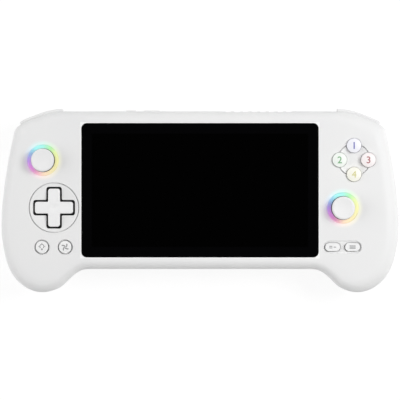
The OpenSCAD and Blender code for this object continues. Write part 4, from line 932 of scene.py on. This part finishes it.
def slots(row, depth, at, turn=0.0):
    """A row of slot cutters that starts at a place, turned from the X axis."""
    count, pitch, width, length = row
    made = grown("slots", SLOT_ROW, Count=count, Pitch=pitch, Width=width, Length=length, Depth=depth,
                 Material=SHELL)
    made.data.transform(Matrix.Rotation(math.radians(turn), 4, "Z"))
    made.data.transform(Matrix.Translation([float(a) for a in at]))
    return made


def half_row(row):
    """Distance from the first slot of a row to its middle."""
    return (row[0] - 1) * row[1] / 2


# Rows of slots: count, pitch, width and length.
VENTS, GRILLE, INLET = (8, 4.9, 3.0, 9.0), (5, 2.2, 1.2, 14.0), (7, 3.2, 1.6, 22.0)
VENT_X = 16.0
EDGE_KEY_Z, EDGE_KEY_H, EDGE_KEY_R = PART_Z - 3.3, 3.0, 0.7
EDGE_KEY_W = {"power_button": 5.7, "volume_rocker": 9.0}
EDGE_KEY_RIM = {"power_button": 3.3, "volume_rocker": 3.5}     # depth of the rim behind the edge
EDGE_KEY_ROOM, EDGE_HOLE_R = 3.2, 0.9
JACK, USB, CARD = (centre(n) for n in ("audio_jack", "usb_port", "card_socket"))
JACK_Z, JACK_R = BACK_Z + 5.4, 3.0
USB_W, USB_H = (span("usb_port")[1] - span("usb_port")[0])[[0, 2]]
CARD_W, CARD_H, CARD_Z = 11.4, 1.1, USB[2] + USB_H / 2 + FIT - 1.05
PORT_IN, PORT_ROOM = 4.0, 0.3


def vents(z0, z1):
    """Cutters of the vents in the top edge."""
    return slots(VENTS, z1 - z0, (VENT_X, DECK_TOP, z0))


def at_screws(r, z0, z1):
    """Round bars at all case screws."""
    return [bar for at in SCREWS for bar in both_sides(drum(r, at, z0, z1))]


def at_shoulders(x0, x1, back, z0, z1):
    """Blocks at both shoulders, from a depth behind the top edge to well outside it."""
    return both_sides(block(x0, x1, back, DECK_TOP + FAR, z0, z1))


def upright(loop, x, z, y0, y1):
    """Prism over a loop that is drawn in X and Z."""
    low = np.column_stack([x + loop[:, 0], np.full(len(loop), y0), z + loop[:, 1]])
    return lidded([low, low + (0, y1 - y0, 0)])


def edge_openings():
    """Cutters of the key openings in the top edge and of the ports in the bottom edge."""
    cuts = []
    for name, w in EDGE_KEY_W.items():
        hole = rounded(w + 2 * RUN, EDGE_KEY_H + 2 * RUN, EDGE_HOLE_R)
        cuts.append(upright(hole, centre(name)[0], EDGE_KEY_Z, DECK_TOP - EDGE_KEY_ROOM, DECK_TOP + 1))
    room = 2 * PORT_ROOM
    for hole, x, z in ((circle(JACK_R, (0, 0), 48), JACK[0], JACK_Z),
                       (rounded(USB_W + room, USB_H + room, USB_H / 2), USB[0], USB[2]),
                       (rounded(CARD_W + room, CARD_H + room, PORT_ROOM), CARD[0], CARD_Z)):
        cuts.append(upright(hole, x, z, -DECK_LOW - 1, -DECK_LOW + PORT_IN))
    return cuts


def rear_half():
    """Rear of the case: slab and grips, shoulder recesses, screw wells, vents, grilles and port openings."""
    outer = skin_solid("rear_half", 0.0, 12, 1.7, 0.0)
    hollow = skin_solid("hollow", WALL, 5, 3.2, 1.0)
    stays = at_screws(WELL_R + WELL_WALL, -1, PART_Z + 2)
    stays += at_shoulders(SHOULDER_X - SHOULDER_SIDE, HALF_W, SHOULDER_BACK - WALL, -1, PART_Z + 2)
    combine(hollow, solid("stays", stays))
    combine(outer, hollow)
    start = SHOULDER_X - ROOM
    cuts = at_shoulders(start, SHOULDER_END + 1, SHOULDER_BACK, TRIGGER_TOP - FIT, PART_Z + 1)
    combine(outer, solid("bumper_room", cuts))
    cuts = at_shoulders(start, TRIGGER_END + ROOM, SHOULDER_BACK, -1, PART_Z - 1)
    combine(outer, solid("trigger_room", cuts))
    combine(outer, solid("openings", at_screws(WELL_R, -1, SCREW_SEAT) + edge_openings()))
    combine(outer, solid("screw_holes", at_screws(SCREW_HOLE, SCREW_SEAT - 1, PART_Z + 1)))
    combine(outer, vents(PART_Z - 5, PART_Z + 1))
    for side in (-1, 1):
        start = (side * SPEAKER_AT[0] - half_row(GRILLE), SPEAKER_AT[1], 0)
        combine(outer, slots(GRILLE, FLOOR_Z + 1, start))
    combine(outer, slots(INLET, WALL + 2, (FAN_AT[0], FAN_AT[1] - half_row(INLET), BACK_Z - 1), 90))
    return outer


front = front_half()
combine(front, vents(PART_Z - 1, PART_Z + 3))
dress(front, FRONT, "front_shell")
dress(rear_half(), SHELL, "rear_shell")


# Screen

LENS_EDGE = 0.3
glass = rounded(LENS_W, LENS_H, LENS_R, LENS_AT)
glass = lidded(edged(glass, LENS_LO[2], LENS_HI[2], LENS_EDGE))
dress(solid("cover_glass", [glass]), GLASS, "screen_lens")


# Thumb sticks

PIVOT_Z = FRONT_Z - 8.0
DOME_R, DOME_T, DOME_ANGLE = 9.2, 0.8, 52
NECK_R, NECK_FLARE, CAP_R = 3.2, 0.5, 6.5
CAP_LOW_EDGE, CAP_EDGE = 0.8, 0.9
CAP_LO, CAP_HI = FRONT_Z + 3.5, span("left_stick_cap")[1][2]
CAP_HOLLOW, CAP_HOLLOW_R = 0.7, 5.2


def thumb_cap(side):
    """Neck and cap with a hollow top and a rounded rim."""
    big = (CAP_HOLLOW_R**2 + CAP_HOLLOW**2) / (2 * CAP_HOLLOW)
    foot = PIVOT_Z + DOME_R - DOME_T
    neck = [(0, foot), (NECK_R, foot), (NECK_R, CAP_LO - NECK_FLARE), (NECK_R + NECK_FLARE, CAP_LO)]
    rim = arc((CAP_R - CAP_LOW_EDGE, CAP_LO + CAP_LOW_EDGE), CAP_LOW_EDGE, -90, 0, 5)
    rim += arc((CAP_R - CAP_EDGE, CAP_HI - CAP_EDGE), CAP_EDGE, 0, 90, 7)
    low = CAP_HI - CAP_HOLLOW
    hollow = [(r, low + big - math.sqrt(big * big - r * r)) for r in np.linspace(CAP_HOLLOW_R, 0.6, 7)]
    profile = neck + rim + hollow + [(0, low)]
    return solid(f"{side}_thumb_cap", [turned(profile, STICKS[side], 128)])


def dome_skirt(side):
    """Ball-shaped skirt that closes the well under the cap, black as painted shade for the deep well."""
    low = 90 - DOME_ANGLE
    under = arc((0, PIVOT_Z), DOME_R - DOME_T, 86, low, 12)
    over = arc((0, PIVOT_Z), DOME_R, low, 86, 12)
    profile = [(0, PIVOT_Z + DOME_R - DOME_T)] + under + over + [(0, PIVOT_Z + DOME_R)]
    return solid(f"{side}_dome_skirt", [turned(profile, STICKS[side], 128)])


RING_TOP = span("left_light_ring")[1][2]
RING_LOW = span("left_light_ring")[0][2]
RING_EDGE, RING_STEP = 0.3, 1.2


def glow_ring(side):
    """Diffuser ring with a flange under the face and rounded upper edges."""
    crown = arc((RING_OUT - RING_EDGE, RING_TOP - RING_EDGE), RING_EDGE, 0, 90, 4)
    crown += arc((RING_IN + RING_EDGE, RING_TOP - RING_EDGE), RING_EDGE, 90, 180, 4)
    bore = RING_IN + RING_STEP
    flange, top = RING_R[side], WALL_Z - FIT
    profile = [(bore, RING_LOW), (flange, RING_LOW), (flange, top), (RING_OUT, top)]
    profile += crown + [(RING_IN, FRONT_Z - RING_LIP), (bore, WALL_Z - 2 * FIT), (bore, RING_LOW)]
    return solid(f"{side}_glow_ring", [turned(profile, STICKS[side], 128)])


for side in STICKS:
    dress(thumb_cap(side), CAP, f"{side}_stick_cap")
    # Painted shade: the skirt is black so that the deep well between cap and ring reads dark.
    dress(dome_skirt(side), BLACK_PLASTIC_AND_PAINTED_SHADE, f"{side}_stick_cap")
    dress(glow_ring(side), lit_ring(side), f"{side}_light_ring")


# Cross pad

DPAD_TOP = span("dpad")[1][2]
DPAD_RIM_TOP = WALL_Z - 0.8 - 1.2
DPAD_EDGE, DPAD_HOLLOW, DPAD_HOLLOW_R = 0.6, 0.5, 3.3
DPAD_FOOT = DPAD_RIM_TOP - 0.5
FLANGE_IN, FLANGE_OUT, FLANGE_T = 4.4, 12.0, 1.0
LUG_W, LUG_T, LUG_Y = 3.2, 1.4, 4.6


def cross_pad():
    """Cross with rounded upper edges and a shallow hollow at its middle, and its flange, black as painted
    shade for the gap round the cross.
    """
    loop = cross_loop(DPAD_W, DPAD_ARM, DPAD_CORNER, DPAD_AT)
    loops = edged(loop, DPAD_FOOT, DPAD_TOP, DPAD_EDGE)
    rings = np.concatenate([circle(r, DPAD_AT, 48) for r in (0.6, 1.2, 1.8, 2.4, 2.9)])
    flat, faces = filled(loops[-1][:, :2], [], [circle(DPAD_HOLLOW_R, DPAD_AT, 48)], rings, 0.1)
    away = np.linalg.norm(flat - DPAD_AT, axis=1)
    top = DPAD_TOP - DPAD_HOLLOW * (1 - ease(away / DPAD_HOLLOW_R))
    low, low_faces = filled(loop, [], [], NO_POINTS, 1)
    body = [strips(loops), (lifted(flat, top), faces), (lifted(low, DPAD_FOOT), low_faces)]
    under = DPAD_RIM_TOP - FLANGE_T
    flange = [(FLANGE_IN, under), (FLANGE_OUT, under), (FLANGE_OUT, DPAD_RIM_TOP), (FLANGE_IN, DPAD_RIM_TOP),
              (FLANGE_IN, under)]
    flange = [turned(flange, DPAD_AT)]
    x, foot = DPAD_AT[0], span("dpad")[0][2]
    for y in (DPAD_AT[1] - LUG_Y, DPAD_AT[1] + LUG_Y):
        flange.append(block(x - LUG_W / 2, x + LUG_W / 2, y - LUG_T / 2, y + LUG_T / 2, foot, DPAD_RIM_TOP))
    return solid("cross_pad", body), solid("cross_pad_flange", flange)


pad, pad_flange = cross_pad()
dress(pad, KEY, "dpad", 40)
# Painted shade: the flange is black so that the gap round the cross reads as a dark line.
dress(pad_flange, BLACK_PLASTIC_AND_PAINTED_SHADE, "dpad", 40)


# Face keys, round keys and pill keys

KEY_RIM, KEY_RIM_T = 1.2, 0.9
RIM_TOP = WALL_Z - 1.5 * FIT
RIM_LOW = RIM_TOP - KEY_RIM_T
FACE_EDGE, ROUND_EDGE, SMALL_EDGE, PILL_RIM = 0.45, 0.35, 0.4, 0.7


def crowned_key(name, node, at, r, crown, edge, material=KEY):
    """Round key: stem, rim under the wall, rounded edge and a crown."""
    lo, hi = span(node)[0][2], span(node)[1][2]
    drop = crown - math.sqrt(crown**2 - (r - edge) ** 2)
    profile = [(0, lo), (r, lo), (r, RIM_LOW), (r + KEY_RIM, RIM_LOW), (r + KEY_RIM, RIM_TOP), (r, RIM_TOP)]
    profile += arc((r - edge, hi - drop - edge), edge, 0, 84, 6)
    profile += [(k, hi - crown + math.sqrt(crown**2 - k * k)) for k in np.linspace(r - edge, 0.4, 8)]
    profile.append((0, hi))
    dress(solid(name, [turned(profile, at)]), material, node, 40)


FACE_CROWN, ROUND_CROWN = 14.0, 22.0
# Painted coloured light: each white key gets a faint hue of its numeral, as if lit in that colour; the
# plastic itself is white.
FACE_PAINTED_LIGHT = {"top": ("painted-blue-light", "#F0F0F8", "#F6F6FB"), "left": ("painted-green-light", "#EFF6EF", "#F5F9F4"),
              "right": ("painted-pink-light", "#F8F0F0", "#FBF5F5"), "bottom": ("painted-yellow-light", "#F7F6E8", "#FAF9F0")}
for side, at in FACE_KEYS.items():
    light_painted_key = white_key(*FACE_PAINTED_LIGHT[side])
    name, node, r = f"{side}_face_key", f"face_button_{side}", FACE_R + FACE_WIDER
    crowned_key(name, node, at, r, FACE_CROWN, FACE_EDGE, light_painted_key)
for name, at in ROUND_KEYS.items():
    crowned_key(f"{name}_key", f"{name}_button", at, ROUND_R, ROUND_CROWN, ROUND_EDGE)
for name, at in PILLS.items():
    lo, hi = span(f"{name}_button")[0][2], span(f"{name}_button")[1][2]
    stem = lidded(edged(rounded(PILL_W, PILL_H, PILL_H / 2 - FIT / 2, at), lo, hi, SMALL_EDGE))
    rim = rounded(PILL_W + 2 * PILL_RIM, PILL_H + 2 * PILL_RIM, PILL_H / 2, at)
    rim = lidded([lifted(rim, RIM_LOW), lifted(rim, RIM_TOP)])
    dress(solid(f"{name}_key", [stem, rim]), KEY, f"{name}_button", 40)


# Keys in the top edge

for name, w in EDGE_KEY_W.items():
    lo, hi = span(name)
    points, faces = lidded(edged(rounded(w, EDGE_KEY_H, EDGE_KEY_R), lo[1], hi[1], SMALL_EDGE))
    cap = np.column_stack([centre(name)[0] + points[:, 0], points[:, 2], EDGE_KEY_Z + points[:, 1]])
    rim = block(lo[0], hi[0], lo[1], DECK_TOP - EDGE_KEY_RIM[name], lo[2], hi[2])
    dress(solid(name.replace("_", "_edge_"), [(cap, faces), rim]), KEY, name, 40)


# Shoulder keys

EDGE_PATH = np.array(UPPER_PATH)[UPPER_STEPS[0] * FINE - 4:(sum(UPPER_STEPS[:3]) + 2) * FINE]


def path_between(x0, x1):
    """Stretch of the case edge between two places across, with points at both ends."""
    across = EDGE_PATH[:, 0]
    xs = np.concatenate([[x0], across[(across > x0 + 0.1) & (across < x1 - 0.1)], [x1]])
    return np.column_stack([np.interp(xs, across, EDGE_PATH[:, k]) for k in range(4)])


def swept(path, section, end=0.5):
    """Section of (distance out of the edge, height) along the path, with its ends drawn in a little."""
    def ring(i, drawn, shift=0.0):
        """A section set across the path at one of its points, moved along it."""
        at = path[i, :2] + shift * path[i, 2:4]
        return np.column_stack([at + drawn[:, :1] * (-path[i, 3], path[i, 2]), drawn[:, 1]])

    middle = section.mean(0)
    share = np.minimum(1, end / np.linalg.norm(section - middle, axis=1))
    small = section + (middle - section) * share[:, None]
    body = [ring(i, section) for i in range(1, len(path) - 1)]
    return lidded([ring(0, small), ring(0, section, end), *body, ring(-1, section, -end), ring(-1, small)])


def section_loop(corners, radii, steps=5):
    """Closed section with rounded corners."""
    corners = np.array(corners, float)
    loop = []
    for i, r in enumerate(radii):
        p, a, b = corners[i], corners[i - 1], corners[(i + 1) % len(corners)]
        if not r:
            loop.append(p)
            continue
        u, v = (a - p) / np.linalg.norm(a - p), (b - p) / np.linalg.norm(b - p)
        for t in np.linspace(0, 1, steps + 1):
            loop.append((1 - t) ** 2 * (p + u * r) + 2 * t * (1 - t) * p + t**2 * (p + v * r))
    return np.array(loop)


BUMPER_PROUD, BUMPER_IN = 1.5, 3.2
BUMPER_ROUNDS = (0.3, 1.3, 1.0, 0.3)
BUMPER_PIN = (HALF_W - 32.5, DECK_TOP - 5.4)
BUMPER_HUB, BUMPER_ARM = 2.1, 1.8
PIN_HOLE = 1.1
TRIGGER_SET, TRIGGER_T, TRIGGER_CURL = 0.6, 4.0, 1.8
TRIGGER_ROUNDS = (1.0, *[0] * 7, 1.2, 1.2, *[0] * 7, 0.3)
TRIGGER_TIP = TRIGGER_LO[2]
TRIGGER_PIN = (DECK_TOP - 10.8, 17.2)
TRIGGER_HUB, TRIGGER_WEB = 1.7, 3.6
SPRING_X, SPRING_W, SPRING_ROOM = HALF_W - 24, 5.0, 2.2


def tube(r, low, high, at):
    """Round tube on a shoulder pin."""
    return turned([(PIN_HOLE, low), (r, low), (r, high), (PIN_HOLE, high), (PIN_HOLE, low)], at, 48)


def bumper():
    """Band along the corner of the case, with an arm to its hub on the pin."""
    low, high = BUMPER_LO[2], BUMPER_HI[2]
    corners = [(-BUMPER_IN, low), (BUMPER_PROUD, low), (BUMPER_PROUD, high), (-BUMPER_IN, high)]
    band = swept(path_between(SHOULDER_X, SHOULDER_END), section_loop(corners, BUMPER_ROUNDS))
    x, y = BUMPER_PIN
    arm = block(x - BUMPER_ARM, x + BUMPER_ARM, y + 1.2, DECK_TOP - 1, low + 0.2, high - 0.2)
    return [band, tube(BUMPER_HUB, low, high, BUMPER_PIN), arm]


def trigger():
    """Horn that curls back to its tip, with a web and hub round the pin and room for the spring."""
    fall = np.linspace(0, 1, 9)
    z = TRIGGER_TOP + (TRIGGER_TIP - TRIGGER_TOP) * fall
    outer = np.column_stack([-TRIGGER_SET - TRIGGER_CURL * fall**2, z])
    inner = np.column_stack([-TRIGGER_SET - TRIGGER_T - 0.2 * TRIGGER_CURL * fall**2, z])[::-1]
    section = section_loop(np.concatenate([outer, inner]), TRIGGER_ROUNDS)
    horn = swept(path_between(TRIGGER_LO[0], TRIGGER_END)[::-1] * (1, 1, -1, -1), section * (-1, 1))
    back, up = TRIGGER_PIN
    reach, low = back + TRIGGER_WEB, up - TRIGGER_HUB
    x0, x1, x2, x3 = TRIGGER_LO[0], SPRING_X, SPRING_X + SPRING_W, TRIGGER_END
    web = [block(x0, x1, back, reach, low, TRIGGER_TOP), block(x2, x3, back, reach - 0.4, low, TRIGGER_TOP),
           block(x1 - 0.1, x2 + 0.1, back + SPRING_ROOM, reach, low, TRIGGER_TOP)]
    hubs = []
    for a, b in ((x0, x1), (x2, x3)):
        points, faces = tube(TRIGGER_HUB, a, b, (0, 0))
        hubs.append((np.column_stack([points[:, 2], back + points[:, 0], up + points[:, 1]]), faces))
    return [horn, *web, *hubs]


for name, make in (("bumper", bumper), ("trigger", trigger)):
    parts = make()
    for side, sign in (("right", 1), ("left", -1)):
        hand = [(points * (sign, 1, 1), faces) for points, faces in parts]
        dress(solid(f"{side}_shoulder_{name}", hand), SHELL, f"{side}_{name}", 40)


# Screws in the wells

def screw_tree():
    """Geometry Nodes: a flat-headed screw with a six-sided socket on each given point."""
    sizes = ("Head radius", "Head height", "Socket radius", "Shank radius", "Shank length")
    sizes = dict.fromkeys(sizes, "Float")
    tree, given = geometry_tree("socket_screws", {"Geometry": "Geometry", **sizes, "Material": "Material"})

    def bar(sides, radius, length):
        """Bar of the given inputs' sizes."""
        made = add(tree, "GeometryNodeMeshCylinder", {"Vertices": sides},
                   {"Radius": given[radius], "Depth": given[length]})
        return made.outputs["Mesh"]

    def raised(piece, length, share):
        """A piece moved up by a share of a length."""
        shift = on_axis(tree, "Z", maths(tree, "MULTIPLY", given[length], share))
        made = add(tree, "GeometryNodeTransform", links={"Geometry": piece, "Translation": shift})
        return made.outputs["Geometry"]

    head, socket, shank = (bar(40, "Head radius", "Head height"), bar(6, "Socket radius", "Head height"),
                           bar(24, "Shank radius", "Shank length"))
    cut = add(tree, "GeometryNodeMeshBoolean", {"operation": "DIFFERENCE"},
              {"Mesh 1": head, "Mesh 2": raised(socket, "Head height", -0.5)})
    whole = joined(tree, cut.outputs["Mesh"], raised(shank, "Shank length", 0.5))
    copy_out(tree, given["Geometry"], whole, given["Material"])
    return tree


HEAD_R, HEAD_T, SOCKET_R, SHANK_R = 2.1, 1.8, 0.95, 0.9
screw_spots = [(s * x, y, SCREW_SEAT - FIT - HEAD_T / 2) for x, y in SCREWS for s in (1, -1)]
screws = grown("well_screws", screw_tree(), screw_spots, **{
    "Head radius": HEAD_R, "Head height": HEAD_T, "Socket radius": SOCKET_R, "Shank radius": SHANK_R,
    "Shank length": span("case_screws")[1][2] - SCREW_SEAT + HEAD_T / 2, "Material": STEEL})
dress(screws, STEEL, "case_screws", 30, weight=False)


# Prints on the keys

PRINT_UP, PRINT_DOWN = 0.025, 0.08
FONT_RISE = 0.7                         # height of a numeral as a share of the font's size
NUMERAL_H, NUMERAL_STEP = 3.8, 0.4


def print_on(name, drawing, material, node, at, crown=None):
    """Thin print on a crowned or flat key top. The drawing is a flat mesh round the key's middle."""
    points, faces = drawing
    height = np.full(len(points), span(node)[1][2])
    if crown:
        r = np.minimum(np.linalg.norm(points, axis=1), crown)
        height = height - crown + np.sqrt(crown**2 - r**2)
    upper = np.column_stack([points + at, height + PRINT_UP])
    lower = np.column_stack([points + at, height - PRINT_DOWN])
    n = len(points)
    edges = {}
    for f in faces:
        for a, b in zip(f, f[1:] + f[:1]):
            edges[(a, b)] = True
    walls = [(a, b, b + n, a + n) for a, b in edges if (b, a) not in edges]
    whole = [tuple(f) for f in faces] + [tuple(i + n for i in reversed(f)) for f in faces] + walls
    return on_top(solid(name, [(np.concatenate([upper, lower]), whole)], 0.0005), material, node)


def numeral(character, height, bold, step):
    """Flat mesh of one numeral, centred and divided finely enough to follow a crown."""
    curve = bpy.data.curves.new("numeral", "FONT")
    curve.body, curve.size, curve.resolution_u, curve.offset = character, height / FONT_RISE, 4, bold
    text = put("numeral", curve)
    seen = bpy.context.evaluated_depsgraph_get()
    seen.update()
    shape = bmesh.new()
    shape.from_mesh(text.evaluated_get(seen).to_mesh())
    bpy.data.objects.remove(text)
    bpy.data.curves.remove(curve)
    bmesh.ops.remove_doubles(shape, verts=shape.verts, dist=0.001)
    for axis in ((1, 0, 0), (0, 1, 0)):
        for k in np.arange(-height, 2 * height, step):
            bmesh.ops.bisect_plane(shape, geom=shape.verts[:] + shape.edges[:] + shape.faces[:],
                                   plane_co=[k * a for a in axis], plane_no=axis)
    bmesh.ops.recalc_face_normals(shape, faces=shape.faces)
    shape.verts.index_update()
    turn = -1 if sum(f.normal.z * f.calc_area() for f in shape.faces) < 0 else 1
    points = np.array([v.co[:2] for v in shape.verts])
    faces = [[v.index for v in f.verts][::turn] for f in shape.faces]
    shape.free()
    return points - (points.min(0) + points.max(0)) / 2, faces


def strokes(lines, width):
    """Flat mesh of drawn lines with square ends."""
    points, faces = [], []
    for line in lines:
        line = np.array(line, float)
        way = np.gradient(line, axis=0)
        way /= np.linalg.norm(way, axis=1)[:, None]
        side = np.column_stack([-way[:, 1], way[:, 0]]) * width / 2
        base = len(points)
        points += list(line - side) + list(line + side)
        n = len(line)
        faces += [[base + i, base + i + 1, base + n + i + 1, base + n + i] for i in range(n - 1)]
    return np.array(points), faces


NUMERALS = {"top": ("1", 0.06, "blue", "#5558B4"), "left": ("2", 0.06, "green", "#6BAC72"),
            "right": ("3", 0.06, "red", "#AC5A5E"), "bottom": ("4", 0.0, "yellow", "#D0CB70")}
for side, (character, bold, name, colour) in NUMERALS.items():
    drawing = numeral(character, NUMERAL_H, bold, NUMERAL_STEP)
    node = f"face_button_{side}"
    print_on(f"{side}_key_numeral", drawing, ink(name, colour), node, FACE_KEYS[side], FACE_CROWN)

GREY_INK = ink("grey", "#808082")
LAMP = [arc((0, 0.4), 1.15, -50, 230, 24), [(-0.45, -1.0), (0.45, -1.0)], [(-0.45, -1.5), (0.45, -1.5)],
        [(-1.9, 0.4), (-1.5, 0.4)], [(1.5, 0.4), (1.9, 0.4)], [(0, 1.95), (0, 2.3)]]
BLADES = [[(r * math.cos(a + 0.45 * r), r * math.sin(a + 0.45 * r)) for r in np.linspace(0.3, 2.1, 9)]
          for a in np.radians((10, 100, 190, 280))]
for name, lines, width in (("light", LAMP, 0.42), ("fan", BLADES, 0.62)):
    drawing = strokes(lines, width)
    print_on(f"{name}_key_mark", drawing, GREY_INK, f"{name}_button", ROUND_KEYS[name], ROUND_CROWN)
BARS = {"select": [[(-1.9, 0.45), (-0.2, 0.45)], [(-1.9, -0.45), (-0.2, -0.45)], [(0.5, 0), (1.9, 0)]],
        "start": [[(-1.7, y), (1.7, y)] for y in (-0.7, 0, 0.7)]}
for name, lines in BARS.items():
    print_on(f"{name}_key_mark", strokes(lines, 0.4), GREY_INK, f"{name}_button", PILLS[name])


# Pieces inside keep their CAD shape

for name, thing in frame["nodes"].items():
    if not thing.hide_render:
        thing.data.materials.clear()
        thing.data.materials.append(INSIDE[NODE_SLOT[name]])


# Floor, light and camera

# Light levels: of the table as seen, of the room from its low to its high side, and overhead.
TABLE_LEVEL, ROOM_LEVELS, ROOF_LEVEL = 0.88, (0.45, 0.52), 0.06
ROOF_START, ROOF_END = 0.86, 0.98       # heights on the sky's ball between which the roof gets dim
TABLE_HALF = 4.0                        # in metres


def floor():
    """Plain white table: white where the camera sees it, with the faint shadow of the console."""
    mesh = bpy.data.meshes.new("floor")
    corners = [(x * TABLE_HALF, y * TABLE_HALF, 0) for x, y in ((-1, -1), (1, -1), (1, 1), (-1, 1))]
    mesh.from_pydata(corners, [], [(0, 1, 2, 3)])
    made = put("floor", mesh)
    paper = bpy.data.materials.new("matt white paper")
    paper.use_nodes = True
    tree = paper.node_tree
    tree.nodes.clear()
    path = add(tree, "ShaderNodeLightPath").outputs
    seen = maths(tree, "MAXIMUM", path["Is Camera Ray"], path["Is Glossy Ray"])
    seen = maths(tree, "MAXIMUM", seen, path["Is Transmission Ray"])
    glow = add(tree, "ShaderNodeEmission", {"Color": (1, 1, 1, 1)},
               {"Strength": maths(tree, "MULTIPLY", seen, TABLE_LEVEL)})
    matt = add(tree, "ShaderNodeBsdfDiffuse", links={"Color": two_tones(tree, seen, "#F4F4F4", "#6E6E6E")})
    both = add(tree, "ShaderNodeAddShader", links={0: glow.outputs[0], 1: matt.outputs[0]})
    add(tree, "ShaderNodeOutputMaterial", links={"Surface": both.outputs[0]})
    mesh.materials.append(paper)


def world():
    """Soft white room, dimmer straight overhead so that the cover glass stays dark."""
    made = bpy.data.worlds.new("soft white room")
    bpy.context.scene.world = made
    made.use_nodes = True
    tree = made.node_tree
    tree.nodes.clear()
    where = add(tree, "ShaderNodeTexCoord")
    axes = add(tree, "ShaderNodeSeparateXYZ", links={0: where.outputs["Generated"]})
    wall = ranged(tree, axes.outputs["Y"], *ROOM_LEVELS, -1.0, 1.0)
    roof = ranged(tree, axes.outputs["Z"], 1.0, ROOF_LEVEL, ROOF_START, ROOF_END)
    path = add(tree, "ShaderNodeLightPath")
    seen = add(tree, "ShaderNodeMix", {"data_type": "FLOAT", 3: 1.0},
               {"Factor": path.outputs["Is Camera Ray"], 2: maths(tree, "MULTIPLY", wall, roof)})
    sky = add(tree, "ShaderNodeBackground", {"Color": (1, 1, 1, 1)}, {"Strength": seen.outputs[0]})
    add(tree, "ShaderNodeOutputWorld", links={"Surface": sky.outputs[0]})


def lamp(name, at, size, power):
    """Soft square lamp that looks at the console; place and size in metres, power in watts."""
    made = bpy.data.lights.new(name, "AREA")
    made.shape, made.size, made.energy = "SQUARE", size, power
    thing = put(name, made)
    thing.location = at
    thing.rotation_euler = (-thing.location).to_track_quat("-Z", "Y").to_euler()


CAMERA_Y, CAMERA_Z = 0.42, 1800.0
FRAME_W = 225.2         # width of the picture at the face
SENSOR = 36.0


def camera():
    """Straight above the face, as the photograph was taken."""
    lens = bpy.data.cameras.new("camera")
    lens.sensor_width = SENSOR
    lens.lens = SENSOR * (CAMERA_Z - FRONT_Z) / FRAME_W
    lens.clip_end = 10.0
    thing = put("camera", lens)
    thing.location = (0.0, CAMERA_Y * MM, CAMERA_Z * MM)
    bpy.context.scene.camera = thing


floor()
world()
lamp("key lamp", (0.68, 0.2, 0.82), 0.45, 6.6)
lamp("fill lamp", (-0.9, 0.05, 0.5), 0.8, 4.0)
camera()
bpy.context.scene.view_settings.view_transform = "Standard"
